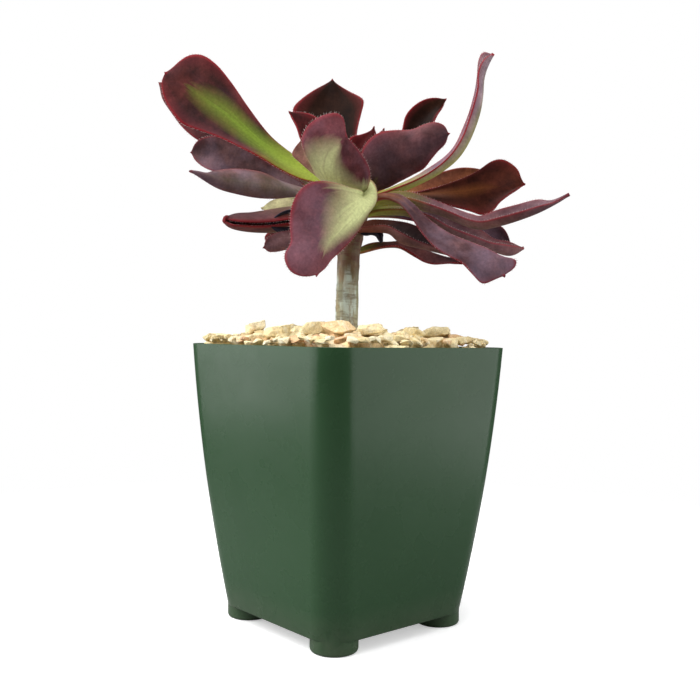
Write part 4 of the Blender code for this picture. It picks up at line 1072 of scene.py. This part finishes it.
def leaf_group():
    """The colours of a leaf, read from its own map: across it from 0 to 1, and from base to tip."""
    group = bpy.data.node_groups.new("leaf skin", "ShaderNodeTree")
    face = group.interface
    for name, value in (
            ("Blade", (0.1, 0.03, 0.03, 1)), ("Deep", (0.05, 0.01, 0.01, 1)), ("Green", (0.15, 0.24, 0.03, 1)),
            ("Stripe", 0.5), ("Stripe Wide", 0.6), ("Stripe End", 0.6), ("Stalk", (0.3, 0.3, 0.1, 1)),
            ("Base", 0.5), ("Base Reach", 0.3), ("Bloom", 0.3), ("Margin", 0.6), ("Stripe Middle", 0.5)):
        kind = "NodeSocketColor" if isinstance(value, tuple) else "NodeSocketFloat"
        face.new_socket(name=name, in_out="INPUT", socket_type=kind).default_value = value
    for name, kind in (("Color", "Color"), ("Roughness", "Float"), ("Height", "Float")):
        face.new_socket(name=name, in_out="OUTPUT", socket_type="NodeSocket" + kind)
    enter = group.nodes.new("NodeGroupInput").outputs
    leave = group.nodes.new("NodeGroupOutput").inputs

    def times(first, second, clamp=False):
        return calculate(group, "MULTIPLY", first, second, clamp)

    def plus(first, second):
        return calculate(group, "ADD", first, second)

    def less(first, second, clamp=False):
        return calculate(group, "SUBTRACT", first, second, clamp)

    def left_of(first, second):
        """How much of 1 is left after the first over the second."""
        return less(1.0, calculate(group, "DIVIDE", first, second), True)

    def off(line):
        """How far a point is across from a line along the leaf: 0 on it, 1 half a leaf away."""
        return times(calculate(group, "ABSOLUTE", less(across, line)), 2.0)

    split = add_node(group, "ShaderNodeSeparateXYZ")
    group.links.new(add_node(group, "ShaderNodeTexCoord").outputs["UV"], split.inputs[0])
    across, upward = split.outputs["X"], split.outputs["Y"]
    blotch = noise_at(group, 75.0, 5.0, 0.6)
    fine = noise_at(group, 1100.0, 4.0, 0.6)
    vein = noise_at(group, 1.0, 5.0, 0.6, drawn_out(group, (22.0, 1.6, 1.0), "UV"))
    along = plus(upward, times(less(vein, 0.5), 0.24))
    off_middle = off(0.5)

    # blade, mottled, with a flush towards its margins
    mottled = ramp(group, blotch, (0.36, 0.0), (0.60, 1.0))
    colour = mix_colour(group, mottled, enter["Blade"], enter["Deep"])
    patch = ramp(group, noise_at(group, 210.0, 6.0, 0.7), (0.38, 0.72), (0.64, 1.22))
    colour = mix_colour(group, 1.0, colour, patch, "MULTIPLY")
    flushed = ramp(group, off_middle, (0.62, 0.0), (0.95, 1.0))
    flushed = times(flushed, times(enter["Margin"], 0.32), True)
    colour = mix_colour(group, flushed, colour, (0.24, 0.022, 0.030))
    # lilac wax, partly painted sheen: pale lilac-grey patches stand in for the leaves' soft sheen
    wax_and_sheen = ramp(group, noise_at(group, 48.0, 4.0, 0.55), (0.42, 0.15), (0.64, 1.0))
    wax_and_sheen = times(times(wax_and_sheen, enter["Bloom"]), 0.6, True)
    colour = mix_colour(group, wax_and_sheen, colour, (0.27, 0.20, 0.28))
    # green middle, widest at the base, fading to the margins and the tip
    fade = left_of(along, enter["Stripe End"])
    spread = times(enter["Stripe Wide"], plus(times(fade, 1.1), 0.25))
    middle = left_of(off(enter["Stripe Middle"]), spread)
    green = times(calculate(group, "POWER", middle, 1.15), calculate(group, "POWER", fade, 0.5))
    green = times(green, plus(times(vein, 3.2), 0.1))
    green = times(green, enter["Stripe"], True)
    colour = mix_colour(group, green, colour, enter["Green"])
    # pale stalk
    low = left_of(along, enter["Base Reach"])
    low = times(times(low, 1.8), enter["Base"], True)
    colour = mix_colour(group, low, colour, enter["Stalk"])
    # red margin and red point
    edge = ramp(group, off_middle, (0.90, 0.0), (0.985, 1.0))
    point = ramp(group, upward, (0.985, 0.0), (1.0, 1.0))
    edge = times(calculate(group, "MAXIMUM", edge, point), enter["Margin"], True)
    colour = mix_colour(group, edge, colour, (0.24, 0.012, 0.018))
    speckle = ramp(group, fine, (0.3, 0.84), (0.7, 1.14))
    colour = mix_colour(group, 1.0, colour, speckle, "MULTIPLY")
    group.links.new(colour, leave["Color"])
    matt = plus(times(wax_and_sheen, 0.25), plus(times(fine, 0.18), 0.34))
    group.links.new(matt, leave["Roughness"])
    group.links.new(plus(vein, times(fine, 0.35)), leave["Height"])
    return group


leaf_skin = leaf_group()


UNDER_STRIPE_WIDE, UNDER_STRIPE_END = 1.6, 0.95
UNDER_DEEP, UPPER_DEEP = 0.50, 0.70     # how much of its own colour the darker mottling keeps


def underside(skin):
    """The skin of a leaf's underside."""
    return skin._replace(blade=skin.under, deep=tuple(UNDER_DEEP * part for part in skin.under),
                         stripe=skin.under_green, stripe_wide=UNDER_STRIPE_WIDE, stripe_end=UNDER_STRIPE_END)


def upper_side(skin):
    """The skin of a leaf's upper side."""
    return skin._replace(deep=tuple(UPPER_DEEP * part for part in skin.deep))


def finish_leaf(name, skin):
    """Leaf skin: soft and waxy, with next to no shine; its soft sheen is painted into the pale wax colour."""
    material, tree, shader = new_material(name)
    node = tree.nodes.new("ShaderNodeGroup")
    node.node_tree = leaf_skin
    for socket in node.inputs:
        value = getattr(skin, socket.name.lower().replace(" ", "_"))
        socket.default_value = (*value, 1.0) if isinstance(value, tuple) else value
    tree.links.new(node.outputs["Color"], shader.inputs["Base Color"])
    tree.links.new(node.outputs["Roughness"], shader.inputs["Roughness"])
    shader.inputs["Specular IOR Level"].default_value = 0.04
    bump(tree, shader, node.outputs["Height"], 0.22, 0.0003)
    return material


def finish_hair():
    material, tree, shader = new_material("leaf hairs")
    tone = ramp(tree, noise_at(tree, 300.0), (0.3, (0.34, 0.20, 0.19)), (0.7, (0.60, 0.50, 0.46)))
    tree.links.new(tone, shader.inputs["Base Color"])
    shader.inputs["Roughness"].default_value = 0.5
    return material


skin_finishes = {name: (finish_leaf(f"{name} leaf", upper_side(skin)),
                        finish_leaf(f"{name} leaf underside", underside(skin)))
                 for name, skin in SKINS.items()}
hair_finish = finish_hair()


def add_hairs(mesh, leaf, rng):
    """A fringe of short stiff hairs along both margins."""
    work = bmesh.new()
    work.from_mesh(mesh)
    for edge_side, curve in ((-1.0, leaf.left), (1.0, leaf.right)):
        margin = smooth_run(curve, 60)
        count = int(np.sum(np.linalg.norm(np.diff(margin, axis=0), axis=1)) * HAIR_RUN / HAIR_SPACING)
        t = HAIR_FROM + HAIR_RUN * (np.arange(count) + rng.uniform(0.2, 0.8, count)) / count
        roots, _ = leaf_points(leaf, t, np.full(count, edge_side))
        inner, _ = leaf_points(leaf, t, np.full(count, edge_side * 0.8))
        ahead, _ = leaf_points(leaf, t + 0.01, np.full(count, edge_side))
        outward = roots - inner
        outward /= np.linalg.norm(outward, axis=1)[:, None]
        way = ahead - roots
        way /= np.linalg.norm(way, axis=1)[:, None]
        over = np.cross(outward, way)
        over /= np.linalg.norm(over, axis=1)[:, None]
        lean = rng.uniform(-0.1, 0.6, count)[:, None]
        tall = rng.uniform(HAIR_SHORT, HAIR_TALL, count)[:, None]
        tips = roots + (outward + way * lean) * tall + over * rng.uniform(-0.15, 0.15, count)[:, None]
        starts = roots - outward * HAIR_ROOT
        for start, tip, forward, top in zip(starts, tips, way, over):
            behind = start - forward * 0.06
            ring = [start + forward * 0.12, behind + top * 0.10, behind - top * 0.10]
            corners = [work.verts.new(point) for point in planted(ring)]
            peak = work.verts.new(planted(tip))
            faces = [work.faces.new((corners[i], corners[(i + 1) % 3], peak)) for i in range(3)]
            faces.append(work.faces.new(corners[::-1]))
            bmesh.ops.recalc_face_normals(work, faces=faces)
            for hair_face in faces:
                hair_face.material_index = 2
    work.to_mesh(mesh)
    work.free()


def grow_leaf(leaf, rng):
    """One leaf: a flat grid bent to the blade, given its flesh, rounded and fringed with hairs."""
    rows = LEAF_ROWS + POINT_ROWS
    piece = start_piece(leaf.node.replace("leaf", "blade", 1), bpy.ops.mesh.primitive_grid_add,
                        x_subdivisions=LEAF_COLUMNS, y_subdivisions=rows, size=2)
    mesh = piece.data
    flat = np.empty(len(mesh.vertices) * 3)
    mesh.vertices.foreach_get("co", flat)
    flat = flat.reshape(-1, 3)
    across = flat[:, 0]
    row = np.round((flat[:, 1] + 1) / 2 * rows)
    length = leaf_points(leaf, np.array([0.5]), np.array([0.0]))[1]
    t = np.clip(row / LEAF_ROWS, 0, 1) + np.clip(row - LEAF_ROWS, 0, None) * POINT_STEP / length
    points, _ = leaf_points(leaf, t, across)
    mesh.vertices.foreach_set("co", planted(points).ravel())
    uv = mesh.uv_layers.active.data
    for loop in mesh.loops:
        uv[loop.index].uv = ((across[loop.vertex_index] + 1) / 2, t[loop.vertex_index])
    flesh = piece.vertex_groups.new(name="flesh")
    thick = (1 - across ** 2) * (1 - 0.5 * np.clip(t, 0, 1)) + 0.25 * (1 - ease(t * 3)) + 0.1 * (t < 0.97)
    for index, weight in enumerate(np.clip(thick, 0, 1)):
        flesh.add([index], float(weight), "REPLACE")
    mesh.update()
    body = piece.modifiers.new("flesh", "SOLIDIFY")
    body.thickness = FLESH * MM
    body.offset = FLESH_LIFT
    body.vertex_group = "flesh"
    body.thickness_vertex_group = MARGIN_SHARE
    body.material_offset = 1
    body.material_offset_rim = 0
    give_finish(piece, *skin_finishes[leaf.skin], hair_finish)
    smooth = piece.modifiers.new("smooth", "SUBSURF")
    smooth.levels = smooth.render_levels = 1
    apply_modifiers(piece)
    piece.vertex_groups.clear()
    if leaf.skin != "withered":
        add_hairs(piece.data, leaf, rng)
    piece.data.shade_smooth()
    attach(piece, "root")
    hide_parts(leaf.node)


hair_rng = np.random.default_rng(5)
for leaf in LEAVES:
    grow_leaf(leaf, hair_rng)

# ---------------------------------------------------------------------------------------------------------
# Studio: a white sweep under the pot, soft light from the upper left and a weaker one from the right.
# ---------------------------------------------------------------------------------------------------------


def aim(thing, place, target):
    """Puts a light or a camera at a place, pointing at a target, both in the plant's own millimetres."""
    spot, goal = Vector(planted(place)), Vector(planted(target))
    thing.location = spot
    thing.rotation_euler = (goal - spot).to_track_quat("-Z", "Y").to_euler()


def softbox(name, place, target, size, power):
    light = bpy.data.lights.new(name, "AREA")
    light.shape = "SQUARE"
    light.size = size
    light.energy = power
    holder = bpy.data.objects.new(name, light)
    bpy.context.scene.collection.objects.link(holder)
    holder.visible_camera = False
    aim(holder, place, target)


FLOOR_SOLID, FLOOR_GONE = 0.16, 0.34    # metres from the pot where the sweep starts and ends its fade
floor = start_piece("white_sweep", bpy.ops.mesh.primitive_plane_add, size=1.4)
settle_place(floor)
floor_finish, floor_tree, floor_shader = new_material("white sweep")
floor_tone = ramp(floor_tree, noise_at(floor_tree, 4.0), (0.3, (0.86, 0.86, 0.87)),
                  (0.7, (0.90, 0.90, 0.90)))
floor_shader.inputs["Roughness"].default_value = 0.9
from_middle = add_node(floor_tree, "ShaderNodeVectorMath", operation="LENGTH")
floor_tree.links.new(add_node(floor_tree, "ShaderNodeTexCoord").outputs["Object"], from_middle.inputs[0])
shown = ramp(floor_tree, from_middle.outputs["Value"], (FLOOR_SOLID, 1.0), (FLOOR_GONE, 0.0))
floor_tree.links.new(shown, floor_shader.inputs["Alpha"])
eye = add_node(floor_tree, "ShaderNodeLightPath").outputs["Is Camera Ray"]
floor_colour = mix_colour(floor_tree, eye, (0.40, 0.40, 0.40), floor_tone)
floor_tree.links.new(floor_colour, floor_shader.inputs["Base Color"])
floor_shader.inputs["Emission Color"].default_value = (1.0, 1.0, 1.0, 1.0)
floor_tree.links.new(calculate(floor_tree, "MULTIPLY", eye, 0.45), floor_shader.inputs["Emission Strength"])
give_finish(floor, floor_finish)

softbox("left softbox", (-770, -60, 300), (0, 0, 130), 0.8, 8.5)
softbox("right softbox", (770, -110, 200), (0, 0, 100), 0.8, 6.5)
softbox("front softbox", (-260, -560, 760), (0, 0, 130), 0.6, 4.2)
softbox("top softbox", (-150, 60, 900), (0, 0, 120), 0.8, 9.5)

world = bpy.data.worlds.new("studio")
bpy.context.scene.world = world
world.use_nodes = True
world_tree = world.node_tree
world_tree.nodes.clear()
room = add_node(world_tree, "ShaderNodeBackground", Color=(1.0, 1.0, 1.0, 1.0), Strength=0.08)
white = add_node(world_tree, "ShaderNodeBackground", Color=(1.0, 1.0, 1.0, 1.0), Strength=1.0)
seen = add_node(world_tree, "ShaderNodeLightPath")
choose = world_tree.nodes.new("ShaderNodeMixShader")
world_out = world_tree.nodes.new("ShaderNodeOutputWorld")
world_tree.links.new(seen.outputs["Is Camera Ray"], choose.inputs[0])
world_tree.links.new(room.outputs[0], choose.inputs[1])
world_tree.links.new(white.outputs[0], choose.inputs[2])
world_tree.links.new(choose.outputs[0], world_out.inputs["Surface"])

CAMERA_LENS = 46.95
CAMERA_PLACE = np.array((1.38, -348.3, 108.7))
CAMERA_PITCH = math.radians(0.97)
CAMERA_ROLL = math.radians(0.84)
camera_data = bpy.data.cameras.new("camera")
camera_data.sensor_width = 36.0
camera_data.lens = CAMERA_LENS
camera_data.clip_start = 0.02
camera = bpy.data.objects.new("camera", camera_data)
bpy.context.scene.collection.objects.link(camera)
aim(camera, CAMERA_PLACE, CAMERA_PLACE + np.array((0.0, 100.0, -100.0 * math.tan(CAMERA_PITCH))))
level = camera.rotation_euler.to_matrix()
camera.rotation_euler = (level @ Matrix.Rotation(CAMERA_ROLL, 3, "Z")).to_euler()
bpy.context.scene.camera = camera
bpy.context.scene.view_settings.view_transform = "Standard"
bpy.context.scene.view_settings.look = "None"
